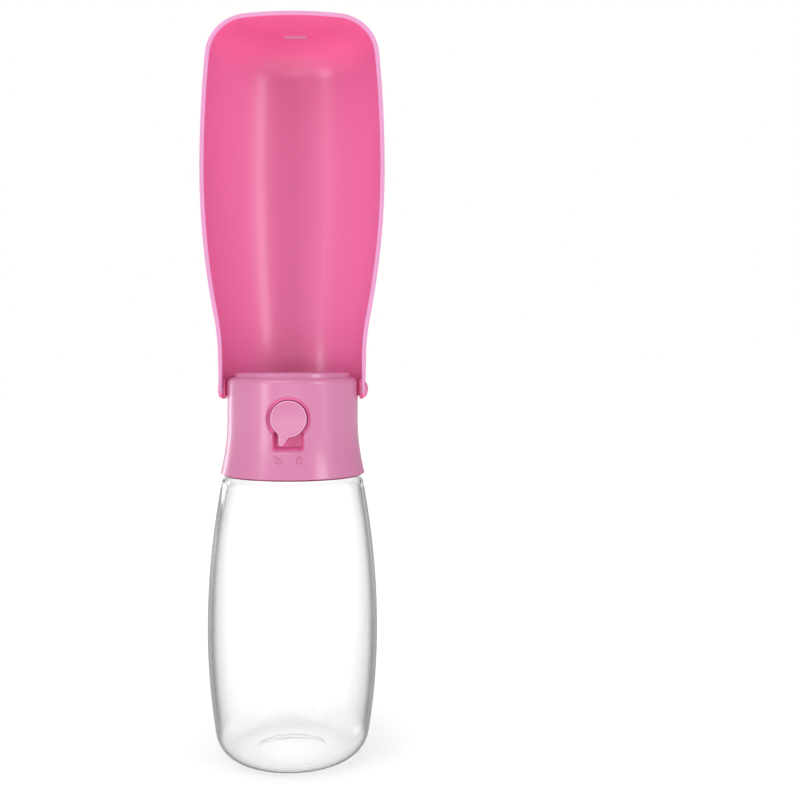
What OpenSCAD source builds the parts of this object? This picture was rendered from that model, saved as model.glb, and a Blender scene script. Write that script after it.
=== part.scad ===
// Dog travel water bottle: a clear bottle, a screwed head with a push valve, and a hinged
// drinking trough that folds over the bottle.
// It stands on its base at the origin, +Z up. The hinge axis runs along X at hinge_h, the
// button faces -Y and the lanyard eye faces +Y. The trough is drawn open and the button unlocked.

/* [Bottle] */
// Largest outside radius of the bottle
bottle_r = 35.4; // [34.9:0.1:35.6]
// Height of the widest level above the base
belly_z = 52.5; // [48:0.5:56]
// Radius of the long side curve above the belly
upper_curve_r = 322; // [300:2:360]
// Radius of the long side curve below the belly
lower_curve_r = 265; // [245:5:300]
// Radius of the round corner at the base
base_corner_r = 11.5; // [10:0.5:13]
// Radius of the corner between the side and the shoulder
shoulder_corner_r = 2.5; // [2:0.1:3.5]
// Wall thickness of the bottle
bottle_wall = 1.3; // [1:0.1:1.6]
// Radius of the hollow under the base
punt_r = 16; // [12:0.5:18]
// Height of the hollow under the base
punt_h = 3.6; // [2:0.2:5]
// Outside radius of the neck
neck_r = 22.6; // [22:0.1:22.9]
// Wall thickness of the neck
neck_wall = 1.8; // [1.4:0.1:2.2]
// Height of the neck above the shoulder
neck_h = 8.3; // [7:0.1:8.5]
// Play between the neck and its socket, which the thread fills
thread_play = 0.8; // [0.6:0.05:1]

/* [Head shell] */
// Height of the hinge axis above the table
hinge_h = 152; // [150.5:0.5:152.5]
// Outside radius of the head at its waist
head_r = 27.25; // [27:0.05:27.5]
// Outside radius of the head at the lower edge of its skirt
skirt_r = 30.1; // [29.5:0.1:30.4]
// Distance from the hinge axis down to the lower edge of the skirt
head_drop = 34.7; // [34:0.1:36]
// Distance from the hinge axis down to where the skirt starts to flare
flare_drop = 12.2; // [10:0.2:15]
// Wall thickness of the head shell
head_wall = 1.8; // [1.5:0.1:2]

/* [Top deck] */
// Height of the deck's shoulder above the hinge axis
shoulder_h = 4.9; // [4.5:0.1:5.2]
// Rounding of the deck's shoulder
shoulder_round = 2.3; // [1.8:0.1:2.5]
// Outside radius of the raised disc at its foot
disc_r = 24.4; // [24:0.1:24.6]
// Height of the raised disc above the hinge axis
disc_h = 6.9; // [6.5:0.1:7.4]
// Width of the raised rim round the dished top
disc_rim = 1.7; // [1.2:0.1:2.4]
// Depth of the dish inside the rim
dish_d = 0.8; // [0.4:0.1:1.2]
// Wall thickness of the deck
deck_wall = 1.8; // [1.5:0.1:2]
// Depth of the deck's spigot in the head shell
spigot_d = 2; // [1.5:0.1:3]
// Width of the water outlet across the trough's length
outlet_w = 3.4; // [2.8:0.1:3.8]
// Length of the water outlet along the hinge
outlet_l = 8.4; // [7:0.1:9]
// Distance of the outlet behind the bottle's axis
outlet_y = 4.8; // [4.4:0.1:5]

/* [Valve body] */
// Height of the valve's axis below the hinge axis
valve_drop = 11; // [10.6:0.1:11.2]
// Wall thickness of the threaded socket
socket_wall = 1.8; // [1.6:0.1:1.9]
// Outside radius of the flange under the skirt
flange_r = 28.9; // [28.5:0.1:29.3]
// Thickness of that flange
flange_t = 0.8; // [0.6:0.1:1.2]
// Thickness of the wall between the socket and the valve
partition_t = 1.6; // [1.3:0.1:1.8]
// Outside radius of the valve's tube
tube_r = 6.3; // [6.2:0.1:6.6]
// Bore radius of the tube's front chamber
inlet_r = 4.2; // [4:0.1:4.6]
// Bore radius of the tube's rear chamber
chamber_r = 5.2; // [5:0.1:5.3]
// Inside radius of the seat that the plug closes
seat_r = 2.9; // [2.6:0.1:3.1]
// Thickness of the seat
seat_t = 1.8; // [1.4:0.1:2]
// Wall thickness of the port and riser ducts
duct_wall = 1.4; // [1.2:0.1:1.6]

/* [Seals] */
// Thickness of the ring between the neck and the head
neck_seal_t = 1.3; // [1:0.1:1.5]
// Thickness of the gasket between the riser and the deck
deck_seal_t = 1; // [0.8:0.1:1.4]
// Thickness of the gasket behind the valve's rear cap
cap_seal_t = 0.8; // [0.6:0.1:1]
// Section radius of the round ring on the valve's stem
gland_ring_r = 0.85; // [0.7:0.05:0.9]

/* [Button] */
// Radius of the button's round face
button_r = 7.2; // [6.9:0.1:7.4]
// Distance from the button's centre to the tip of its pointer
pointer_l = 11.2; // [10.6:0.1:11.6]
// Radius of the pointer's tip
pointer_tip_r = 1; // [0.8:0.1:1.2]
// Thickness of the button's face
button_t = 2.2; // [1.8:0.1:2.4]
// Distance from the bottle's axis to the button's face
button_face = 26.9; // [26.7:0.1:27]
// Travel of the button when it is pressed
press_travel = 2.4; // [2:0.1:2.4]
// Angle of the pointer to each side of straight down
lock_angle = 16; // [12:1:18]
// Gap between the button and the wall of its recess
recess_gap = 1.5; // [1.2:0.1:1.7]
// Half width of the recess round the pointer
notch_w = 6.2; // [5.6:0.1:6.6]
// Depth of that recess below the button's centre
notch_drop = 12.6; // [12.3:0.1:12.7]
// Corner radius of that recess
notch_round = 1.2; // [0.8:0.1:1.6]
// Wall thickness round the recess
recess_wall = 1; // [0.8:0.1:1.2]
// Thickness of the guide plate behind the button
guide_t = 2.2; // [1.8:0.1:2.4]
// Outside radius of the turning lock sleeve
sleeve_r = 6; // [5.8:0.1:6.2]
// Width of the button's two tongues in the sleeve
tongue_w = 2; // [1.6:0.1:2.6]
// Radius of the valve's stem
stem_r = 1.5; // [1.3:0.1:1.6]
// Radius of the valve's plug
plug_r = 4; // [3.8:0.1:4.3]
// Thickness of the valve's plug
plug_t = 3; // [2.4:0.1:3.2]

/* [Spring] */
// Radius of the button spring, measured to the middle of its wire
spring_r = 3.75; // [3.6:0.05:3.9]
// Radius of the spring's wire
wire_r = 0.28; // [0.22:0.02:0.3]
// Number of curls of the spring
curls = 5.5; // [4:0.5:6]

/* [Trough] */
// Largest outside radius of the trough
trough_r = 38.2; // [37.9:0.1:38.8]
// Distance of the widest level from the hinge axis
trough_belly = 92; // [86:1:98]
// Outside radius of the trough at the hinge
heel_r = 30.5; // [30.3:0.1:31]
// Distance from the hinge axis to the trough's far end
trough_l = 156.8; // [156.5:0.1:158]
// Wall thickness of the trough
trough_wall = 1.6; // [1.4:0.05:1.7]
// Radius of the hollow side curve beside the hinge
waist_curve_r = 95; // [80:5:110]
// Radius of the side curve below the widest level
trough_lower_r = 320; // [310:5:340]
// Radius of the side curve above the widest level
trough_upper_r = 500; // [450:10:600]
// Radius of the corner at the far end
trough_corner_r = 18; // [17:0.5:19]
// Radius of the crown across the far end
trough_crown_r = 180; // [160:5:220]
// Depth of the straight wall in front of the hinge axis
rim_d = 5.7; // [5.2:0.1:6.2]
// Width of the bead along the rim
bead_w = 1.7; // [1.2:0.1:2.2]
// Height of that bead
bead_h = 0.25; // [0.15:0.05:0.4]
// Distance from the hinge axis to the trough's back edge
heel_drop = 3.2; // [2.8:0.1:3.6]
// Length of the catch rib inside the far end
rib_l = 10.2; // [8:0.2:12]
// Width of that rib
rib_w = 1.2; // [0.8:0.1:1.6]
// Height of that rib
rib_h = 0.8; // [0.3:0.05:0.9]
// Distance of that rib behind the hinge axis
rib_y = 19.2; // [18:0.2:24]

/* [Hinge] */
// Radius of the hinge pin
pin_r = 1.6; // [1.4:0.1:1.8]
// Radius of the pin's domed head
dome_r = 3.2; // [3:0.1:3.5]
// Height of the pin's domed head
dome_h = 1.1; // [1:0.1:1.8]
// Distance from the pin's centre to the lower end of the ear
ear_drop = 4.1; // [3.9:0.1:4.4]
// Rounding of the ear's lower corners
ear_round = 4; // [3:0.1:4.1]
// Gap between the ear's boss and the head
ear_gap = 0.7; // [0.6:0.05:0.8]
// Radius of the friction washer in that gap
washer_r = 2.8; // [2.4:0.1:3.4]
// Outside radius of the bearing round the pin
bearing_r = 3.3; // [3:0.1:3.35]
// Length of the bearing inside the head shell
bearing_l = 3.4; // [3:0.1:3.6]

/* [Lanyard eye and catch] */
// Distance of the eye below the hinge axis
eye_drop = 11.5; // [11:0.1:13]
// Outside radius of the eye
eye_r = 3.1; // [2.8:0.1:3.3]
// Radius of the hole in the eye
eye_hole_r = 1.26; // [1:0.02:1.5]
// Width of the eye
eye_w = 2.2; // [1.8:0.1:2.6]
// Distance of the eye's centre outside the head
eye_out = 0.85; // [0.6:0.05:1.2]
// Bevel of the eye's edges
eye_bevel = 0.5; // [0.3:0.05:0.6]
// Distance of the catch peg below the hinge axis
peg_drop = 4.8; // [4.7:0.05:4.9]
// Radius of the catch peg
peg_r = 1.15; // [0.9:0.05:1.15]
// Distance that the peg stands out of the head
peg_out = 1.5; // [1.2:0.05:1.5]
// Radius of the hole in the trough's tab
tab_hole_r = 1.35; // [1.3:0.05:1.4]
// Width of material round that hole
tab_edge = 0.8; // [0.7:0.05:1]
// Thickness of the tab
tab_t = 1.3; // [1:0.1:1.4]

/* [Screws and clips] */
// Radius of the deck screws' shanks
screw_r = 1.1; // [0.9:0.1:1.2]
// Radius of the deck screws' heads
screw_head_r = 2.3; // [2:0.1:2.4]
// Height of the deck screws' heads
screw_head_h = 1.3; // [1:0.1:1.3]
// Length of the deck screws' shanks
screw_l = 10; // [8:0.5:14]
// Radius of the deck's screw pillars
pillar_r = 2.8; // [2.5:0.1:2.9]
// Thickness of the clips on the pins and the stem
clip_t = 0.6; // [0.5:0.05:0.7]

/* [Clearances] */
// Running clearance round a pin or a shaft
run_gap = 0.05; // [0.03:0.01:0.08]
// Clearance round pieces that are pushed together
seat_gap = 0.02; // [0.01:0.01:0.04]
// Clearance of sliding faces
slide_gap = 0.15; // [0.1:0.05:0.2]
// Clearance between pieces that pass each other
pass_gap = 0.3; // [0.2:0.05:0.35]
// Gap between the flange and the bottle's shoulder
bottle_gap = 0.4; // [0.3:0.05:0.6]

/* [Hidden] */
$fn = 96;

// Length of a cutting body that passes right through
through = 100;
// Overlap that fuses a piece's own features
weld = 0.3;

// Colours
pink = [0.86, 0.50, 0.68];
trough_pink = [0.88, 0.42, 0.62];
rose = [0.55, 0.20, 0.34];
clear_plastic = [0.92, 0.95, 0.96, 0.35];
silicone_white = [0.93, 0.93, 0.91];
steel = [0.72, 0.73, 0.75];
inner_white = [0.95, 0.95, 0.96];

// Heights on the bottle, from the table
shoulder_z = hinge_h - head_drop - flange_t - bottle_gap;
neck_top = shoulder_z + neck_h;
socket_r = neck_r + thread_play;
socket_out_r = socket_r + socket_wall;

// Heights in the head, from the hinge axis
seal_low = neck_top - hinge_h;
partition_low = seal_low + neck_seal_t;
partition_top = partition_low + partition_t;
deck_roof = disc_h - dish_d - deck_wall;
riser_top = deck_roof - deck_seal_t;

// Places along the valve's axis, from the bottle's axis, negative to the front
button_back = button_t - button_face;
guide_front = button_back + press_travel + pass_gap;
guide_back = guide_front + guide_t;
sleeve_flange_t = 1;
sleeve_flange = guide_back + pass_gap;
sleeve_back = sleeve_flange + sleeve_flange_t + 1.2;
sleeve_floor_t = 0.7;
tube_front = sleeve_back + pass_gap;
bush_t = 1.4;
gland_step = tube_front + bush_t + 2 * gland_ring_r + 2 * slide_gap;
gland_wall = 1;
inlet_front = gland_step + gland_wall;
plug_front = -1.2;
seat_front = plug_front - seat_t;
plug_back = plug_front + plug_t;
stem_back = plug_back + clip_t + 1;
chamber_back = stem_back + press_travel + 2.2;
cap_spigot_l = 2.5;
tube_back = chamber_back + cap_spigot_l;
inlet_y = (inlet_front + seat_front) / 2;
inlet_w = 3.4;
inlet_l = 7;

// Radii on the valve's axis
recess_r = button_r + recess_gap;
sleeve_wall = 1.4;
sleeve_pocket_r = sleeve_r - sleeve_wall;
sleeve_flange_r = sleeve_r + 1.2;
cup_in_r = sleeve_flange_r + pass_gap;
cup_wall = 1.6;
cup_out_r = cup_in_r + cup_wall;
cup_floor_t = 1.5;
boss_r = stem_r + 1;
gland_r = stem_r + run_gap + 2 * gland_ring_r + run_gap;
stem_collar_r = stem_r + 0.6;
stem_collar_t = 0.6;
groove_d = 0.45;

// Screw pillars, front pair then rear pair
pillar_places = [[15.2, -8], [12, 12]];

// Hinge pin, from the middle of the bottle
boss_x = head_r + ear_gap;
bearing_x = head_r - head_wall - bearing_l;
clip_x = bearing_x - pass_gap - clip_t;
pin_end = clip_x - 0.9;
washer_t = ear_gap - slide_gap - run_gap;
inner_heel_r = heel_r - trough_wall;

// Centres and end angles of the bottle's side curves
lower_c = [bottle_r - lower_curve_r, belly_z];
upper_c = [bottle_r - upper_curve_r, belly_z];
corner_x = lower_c.x + sqrt(pow(lower_curve_r - base_corner_r, 2) - pow(belly_z - base_corner_r, 2));
corner_c = [corner_x, base_corner_r];
corner_a = atan2(corner_c.y - lower_c.y, corner_c.x - lower_c.x);
shoulder_a = asin((shoulder_z - shoulder_corner_r - belly_z) / (upper_curve_r - shoulder_corner_r));
shoulder_c = upper_c + (upper_curve_r - shoulder_corner_r) * [cos(shoulder_a), sin(shoulder_a)];
punt_curve_r = (punt_r * punt_r + punt_h * punt_h) / (2 * punt_h);
punt_c = [0, punt_h - punt_curve_r];
punt_a = 90 - asin(punt_r / punt_curve_r);

// Centre of the head's flare
flare_curve_r = (pow(head_drop - flare_drop, 2) + pow(skirt_r - head_r, 2)) / (2 * (skirt_r - head_r));
flare_c = [head_r + flare_curve_r, -flare_drop];
flare_a = 180 + asin((head_drop - flare_drop) / flare_curve_r);
flare_in_a = 180 + asin((head_drop - flare_drop) / (flare_curve_r + head_wall));

// Centres and end angles of the trough's side curves, which all meet tangentially
t_lower_c = [trough_r - trough_lower_r, trough_belly];
t_upper_c = [trough_r - trough_upper_r, trough_belly];
waist_dx = heel_r + waist_curve_r - t_lower_c.x;
waist_dz = sqrt(pow(waist_curve_r + trough_lower_r, 2) - waist_dx * waist_dx);
waist_c = [heel_r + waist_curve_r, trough_belly - waist_dz];
waist_a = atan2(waist_dz, waist_dx);
crown_c = [0, trough_l - trough_crown_r];
t_corner_c = meet(t_upper_c, trough_upper_r - trough_corner_r, crown_c, trough_crown_r - trough_corner_r);
t_corner_a = angle_to(t_upper_c, t_corner_c);
crown_a = angle_to(crown_c, t_corner_c);

// Points of an arc round c, from angle a to angle b
function arc(c, r, a, b, steps) =
    [for (i = [0 : steps]) c + r * [cos(a + (b - a) * i / steps), sin(a + (b - a) * i / steps)]];

// A list without its first point, for an arc that goes on from another
function onward(points) = [for (i = [1 : len(points) - 1]) points[i]];

function backward(points) = [for (i = [len(points) - 1 : -1 : 0]) points[i]];

function angle_to(from, to) = atan2(to.y - from.y, to.x - from.x);

// The right-hand crossing of a circle round p and a circle round q
function meet(p, pr, q, qr) =
    let(d = norm(q - p), u = (q - p) / d, along = (pr * pr - qr * qr + d * d) / (2 * d))
    p + along * u + sqrt(pr * pr - along * along) * [-u.y, u.x];

// Side of the bottle from the base up to the shoulder, drawn in by inset
function bottle_side(inset) = concat(
    arc(corner_c, base_corner_r - inset, -90, corner_a, 10),
    onward(arc(lower_c, lower_curve_r - inset, corner_a, 0, 7)),
    onward(arc(upper_c, upper_curve_r - inset, 0, shoulder_a, 10)),
    onward(arc(shoulder_c, shoulder_corner_r - inset, shoulder_a, 90, 5)));

// Side of the trough from its back edge to the middle of its far end, drawn in by inset
function trough_side(inset) = concat(
    [[heel_r - inset, -heel_drop]],
    arc(waist_c, waist_curve_r + inset, 180, 180 - waist_a, 5),
    onward(arc(t_lower_c, trough_lower_r - inset, -waist_a, 0, 7)),
    onward(arc(t_upper_c, trough_upper_r - inset, 0, t_corner_a, 4)),
    onward(arc(t_corner_c, trough_corner_r - inset, t_corner_a, crown_a, 8)),
    onward(arc(crown_c, trough_crown_r - inset, crown_a, 90, 3)));

module at_hinge() {
    translate([0, 0, hinge_h]) children();
}

// Puts a revolved or extruded piece on the valve's axis, its +Z to the rear, from place y
module on_valve(y = 0) {
    translate([0, y, hinge_h - valve_drop]) rotate([-90, 0, 0]) children();
}

// Turns a piece about the valve's axis to where the unlocked pointer stands
module unlocked() {
    on_valve() rotate([0, 0, lock_angle]) children();
}

// Draws a piece for the right side, or mirrored for the left one
module on_side(side) {
    mirror([side < 0 ? 1 : 0, 0, 0]) children();
}

// A cylinder along X from x, on the hinge axis
module hinge_rod(x, length, r) {
    translate([x, 0, hinge_h]) rotate([0, 90, 0]) cylinder(r = r, h = length);
}

module ring(r_in, r_out, h) {
    difference() {
        cylinder(r = r_out, h = h);
        translate([0, 0, -weld]) cylinder(r = r_in, h = h + 2 * weld);
    }
}

// A slot with round ends, its length along X
module slot(length, width) {
    square([length - width, width], center = true);
    for (side = [-1, 1]) {
        translate([side * (length - width) / 2, 0]) circle(d = width);
    }
}

// A spring clip: a flat ring with a gap
module clip(r_in, r_out) {
    rotate_extrude(angle = 290) translate([r_in, 0]) square([r_out - r_in, clip_t]);
}

// Places a child on each screw pillar
module on_pillars() {
    for (place = pillar_places) {
        for (side = [-1, 1]) {
            translate([side * place.x, place.y, 0]) children();
        }
    }
}

// Outline of the button's recess, seen on the valve's axis, grown by wall
module recess_outline(wall = 0) {
    half = notch_w + wall;
    low = notch_drop + wall;
    circle(r = recess_r + wall);
    translate([-half, 0]) square([2 * half, low - notch_round]);
    translate([notch_round - half, 0]) square([2 * (half - notch_round), low]);
    for (side = [-1, 1]) {
        translate([side * (half - notch_round), low - notch_round]) circle(r = notch_round);
    }
}

module bottle() {
    inner_r = neck_r - neck_wall;
    profile = concat(
        arc(punt_c, punt_curve_r, 90, punt_a, 5),
        bottle_side(0),
        [[neck_r, shoulder_z], [neck_r, neck_top - 0.4], [neck_r - 0.4, neck_top], [inner_r, neck_top],
            [inner_r, shoulder_z - bottle_wall]],
        backward(bottle_side(bottle_wall)),
        backward(arc(punt_c, punt_curve_r + bottle_wall, 90, punt_a, 5)));
    color(clear_plastic) rotate_extrude() polygon(profile);
}

module neck_seal() {
    color(silicone_white) translate([0, 0, neck_top]) ring(neck_r - neck_wall, socket_r - pass_gap, neck_seal_t);
}

module head_shell() {
    edge = 0.5;
    profile = concat(
        [[head_r, 0]],
        arc(flare_c, flare_curve_r, 180, flare_a - 0.4, 8),
        [[skirt_r - edge, -head_drop]],
        backward(arc(flare_c, flare_curve_r + head_wall, 180, flare_in_a, 8)),
        [[head_r - head_wall, 0]]);
    color(pink) difference() {
        union() {
            at_hinge() rotate_extrude() polygon(profile);
            recess_collar();
            bearing_half(-1);
            lanyard_eye();
            catch_peg();
        }
        on_valve(guide_front - through) linear_extrude(through) recess_outline();
        cord_way();
        for (side = [-1, 1]) {
            on_side(side) hinge_rod(bearing_x - weld, through, pin_r + run_gap);
        }
    }
}

// Wall round the recess, from inside the shell's wall to the guide plate
module recess_collar() {
    intersection() {
        on_valve(-head_r) linear_extrude(head_r + guide_front) recess_outline(recess_wall);
        cylinder(r = head_r - head_wall / 2, h = hinge_h);
    }
}

// One half of the two bearings for the hinge pins: side -1 is the lower half, 1 the upper one
module bearing_half(side) {
    low = side < 0 ? -bearing_r : 0;
    intersection() {
        for (x_side = [-1, 1]) {
            on_side(x_side) hinge_rod(bearing_x, bearing_l + weld, bearing_r);
        }
        translate([-through / 2, -through / 2, hinge_h + low]) cube([through, through, bearing_r]);
    }
}

module lanyard_eye() {
    half = eye_w / 2;
    section = [[eye_hole_r, -half + eye_bevel], [eye_hole_r + eye_bevel, -half], [eye_r - eye_bevel, -half],
        [eye_r, -half + eye_bevel], [eye_r, half - eye_bevel], [eye_r - eye_bevel, half],
        [eye_hole_r + eye_bevel, half], [eye_hole_r, half - eye_bevel]];
    at_eye() rotate_extrude() polygon(section);
}

// Way of a cord through the eye: on both sides of the hole a wider groove in the shell leads to it
module cord_way() {
    half = eye_w / 2;
    far = through / 2;
    groove_r = eye_hole_r + eye_bevel;
    section = [[0, -far], [groove_r, -far], [groove_r, -half], [eye_hole_r, -half + eye_bevel],
        [eye_hole_r, half - eye_bevel], [groove_r, half], [groove_r, far], [0, far]];
    at_eye() rotate_extrude() polygon(section);
}

// Puts children at the eye's centre, with their Z along the hinge axis
module at_eye() {
    translate([0, head_r + eye_out, hinge_h - eye_drop]) rotate([0, 90, 0]) children();
}

module catch_peg() {
    root = head_wall / 2;
    translate([0, head_r - root, hinge_h - peg_drop]) rotate([-90, 0, 0]) {
        cylinder(r = peg_r, h = root + peg_out - peg_r);
        translate([0, 0, root + peg_out - peg_r]) sphere(r = peg_r);
    }
}

module top_deck() {
    outer_r = head_r - 0.1;
    rim_round = 0.6;
    disc_top_r = disc_r - 0.3;
    dish_r = disc_top_r - disc_rim;
    spigot_r = head_r - head_wall - slide_gap;
    spigot_in_r = spigot_r - 1.4;
    roof_r = disc_r - deck_wall;
    profile = concat(
        [[0, disc_h - dish_d], [dish_r - 0.5, disc_h - dish_d], [dish_r, disc_h]],
        backward(arc([disc_top_r - rim_round, disc_h - rim_round], rim_round, 0, 90, 4)),
        [[disc_r, shoulder_h]],
        backward(arc([outer_r - shoulder_round, shoulder_h - shoulder_round], shoulder_round, 0, 90, 6)),
        [[outer_r, 0], [spigot_r, 0], [spigot_r, -spigot_d], [spigot_in_r, -spigot_d],
            [spigot_in_r, shoulder_h - deck_wall], [roof_r, shoulder_h - deck_wall], [roof_r, deck_roof],
            [0, deck_roof]]);
    color(pink) difference() {
        union() {
            at_hinge() difference() {
                rotate_extrude() polygon(profile);
                spigot_gaps(spigot_in_r);
            }
            bearing_half(1);
            on_pillars() translate([0, 0, hinge_h + partition_top]) cylinder(r = pillar_r, h = deck_roof + weld - partition_top);
        }
        outlet_slot(deck_roof - weld, through);
        on_pillars() translate([0, 0, hinge_h + partition_top - weld]) cylinder(r = screw_r + run_gap, h = screw_l);
        for (side = [-1, 1]) {
            on_side(side) hinge_rod(bearing_x - weld, through, pin_r + run_gap);
        }
    }
}

// Gaps in the deck's spigot, for the pin bearings and for the recess of the button
module spigot_gaps(inner_r) {
    reach = 3;
    for (side = [-1, 1]) {
        on_side(side) translate([inner_r - reach, -bearing_r - slide_gap, -spigot_d - weld])
            cube([2 * reach, 2 * (bearing_r + slide_gap), spigot_d + weld]);
    }
    front = recess_r + recess_wall + pass_gap;
    translate([-front, -through, -spigot_d - weld]) cube([2 * front, through - inner_r / 2, spigot_d + weld]);
}

// The water outlet's duct, from height z above the hinge axis
module outlet_slot(z, height, wall = 0) {
    translate([0, outlet_y, hinge_h + z]) linear_extrude(height) slot(outlet_l + 2 * wall, outlet_w + 2 * wall);
}

module deck_seal() {
    color(silicone_white) difference() {
        outlet_slot(riser_top, deck_seal_t, duct_wall);
        outlet_slot(riser_top - weld, deck_seal_t + 2 * weld);
    }
}

module deck_screws() {
    cross_w = 0.6;
    cross_l = 2.6;
    cross_d = 0.7;
    low = hinge_h + partition_low;
    color(steel) on_pillars() translate([0, 0, low - screw_head_h]) difference() {
        union() {
            cylinder(r = screw_head_r, h = screw_head_h);
            cylinder(r = screw_r, h = screw_head_h + screw_l);
        }
        for (turn = [0, 90]) {
            rotate([0, 0, turn]) translate([-cross_l / 2, -cross_w / 2, -weld]) cube([cross_l, cross_w, cross_d + weld]);
        }
    }
}

module valve_body() {
    socket = [[socket_r, -head_drop - flange_t], [flange_r, -head_drop - flange_t], [flange_r, -head_drop],
        [socket_out_r, -head_drop], [socket_out_r, partition_top], [0, partition_top], [0, partition_low],
        [socket_r, partition_low]];
    duct_h = -valve_drop - partition_top;
    rear_rib_t = 2;
    color(rose) difference() {
        union() {
            at_hinge() rotate_extrude() polygon(socket);
            on_valve(tube_front) cylinder(r = tube_r, h = tube_back - tube_front);
            front_cup();
            inlet_slot(partition_top, duct_h, duct_wall);
            outlet_slot(-valve_drop, valve_drop + riser_top, duct_wall);
            translate([-rear_rib_t / 2, 0, hinge_h + partition_top - weld]) cube([rear_rib_t, tube_back, duct_h]);
        }
        on_valve(tube_front - weld) cylinder(r = gland_r, h = gland_step - tube_front + weld);
        on_valve(tube_front) cylinder(r = stem_r + run_gap, h = tube_back - tube_front);
        on_valve(inlet_front) cylinder(r = inlet_r, h = tube_back - inlet_front);
        on_valve(seat_front) cylinder(r = chamber_r, h = through);
        inlet_slot(partition_low - weld, duct_h + partition_t + weld);
        outlet_slot(-valve_drop, through);
        on_pillars() translate([0, 0, hinge_h + partition_low - weld]) cylinder(r = screw_r + slide_gap, h = partition_t + 2 * weld);
    }
}

// The water inlet's duct, from height z above the hinge axis
module inlet_slot(z, height, wall = 0) {
    translate([0, inlet_y, hinge_h + z]) linear_extrude(height) slot(inlet_l + 2 * wall, inlet_w + 2 * wall);
}

// The cup on the front of the tube, which backs the guide plate and traps the sleeve's flange
module front_cup() {
    difference() {
        on_valve(guide_back) cylinder(r = cup_out_r, h = tube_front + cup_floor_t - guide_back);
        on_valve(guide_back - weld) cylinder(r = cup_in_r, h = tube_front - guide_back + weld);
    }
}

module gland_ring() {
    middle = gland_step - slide_gap - gland_ring_r;
    color(silicone_white) on_valve(middle) rotate_extrude() translate([stem_r + run_gap + gland_ring_r, 0]) circle(r = gland_ring_r);
}

module gland_bush() {
    color(inner_white) on_valve(tube_front) ring(stem_r + run_gap, gland_r - seat_gap, bush_t);
}

module valve_seat() {
    color(silicone_white) on_valve(seat_front) ring(seat_r, chamber_r - seat_gap, seat_t);
}

module rear_cap() {
    flange = 1.5;
    color(inner_white) {
        on_valve(chamber_back) cylinder(r = chamber_r - run_gap, h = cap_spigot_l + cap_seal_t + flange);
        on_valve(tube_back + cap_seal_t) cylinder(r = tube_r, h = flange);
    }
}

module rear_cap_seal() {
    color(silicone_white) on_valve(tube_back) ring(chamber_r, tube_r, cap_seal_t);
}

module guide_plate() {
    color(pink) difference() {
        on_valve(guide_front) linear_extrude(guide_t) recess_outline(recess_wall);
        on_valve(guide_front - weld) cylinder(r = sleeve_r + 2 * run_gap, h = guide_t + 2 * weld);
    }
}

module lock_sleeve() {
    floor_front = sleeve_back - sleeve_floor_t - guide_front;
    length = sleeve_back - guide_front;
    color(inner_white) difference() {
        union() {
            on_valve(guide_front) cylinder(r = sleeve_r, h = length);
            on_valve(sleeve_flange) cylinder(r = sleeve_flange_r, h = sleeve_flange_t);
        }
        on_valve(guide_front - weld) cylinder(r = sleeve_pocket_r, h = floor_front + weld);
        on_valve(guide_front) cylinder(r = boss_r + slide_gap, h = through);
        unlocked() translate([0, 0, guide_front - weld]) tongues(length - sleeve_floor_t / 2 + weld, slide_gap);
    }
}

// The two tongues that turn the sleeve, in the ring between the spring and the sleeve's outside
module tongues(length, play = 0) {
    intersection() {
        ring(sleeve_pocket_r + slide_gap - 2 * play, sleeve_r - run_gap + play / 4, length);
        translate([-sleeve_r - weld, -tongue_w / 2 - play, 0]) cube([2 * (sleeve_r + weld), tongue_w + 2 * play, length]);
    }
}

module button() {
    bevel = 0.4;
    boss_l = sleeve_back - sleeve_floor_t / 2 - press_travel - pass_gap - button_back;
    color(pink) difference() {
        unlocked() translate([0, 0, -button_face]) {
            translate([0, 0, bevel]) linear_extrude(button_t - bevel) drop(0);
            linear_extrude(button_t) drop(bevel);
            translate([0, 0, button_t - weld]) cylinder(r = boss_r, h = boss_l + weld);
            translate([0, 0, button_t - weld]) tongues(boss_l + weld);
        }
        on_valve(-button_face + button_t / 2) cylinder(r = stem_r + seat_gap, h = through);
    }
}

// The button's outline: a disc with a rounded pointer along +Y, drawn in by inset
module drop(inset) {
    tip = pointer_l - pointer_tip_r;
    root_w = 2.7;
    root_y = button_r - 1;
    circle(r = button_r - inset);
    translate([0, tip]) circle(r = pointer_tip_r - inset);
    polygon([[-root_w + inset, root_y - inset], [inset - pointer_tip_r, tip], [pointer_tip_r - inset, tip],
        [root_w - inset, root_y - inset]]);
}

// Points of the spring's centre line, from its front end
spring_front = button_back + run_gap;
spring_back = sleeve_back - sleeve_floor_t - run_gap;
spring_rise = spring_back - spring_front - 2 * wire_r;
curl_rings = 8;
wire_sides = 6;
spring_line = [for (i = [0 : curls * curl_rings])
    [spring_r * cos(360 * i / curl_rings), spring_r * sin(360 * i / curl_rings),
        wire_r + spring_rise * i / (curls * curl_rings)]];
spring_gap = min([for (i = [0 : len(spring_line) - 1 - curl_rings / 2])
    for (j = [i + curl_rings / 2 : len(spring_line) - 1]) norm(spring_line[i] - spring_line[j])]) - 2 * wire_r;
echo(spring_gap_to_itself = spring_gap);

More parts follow.
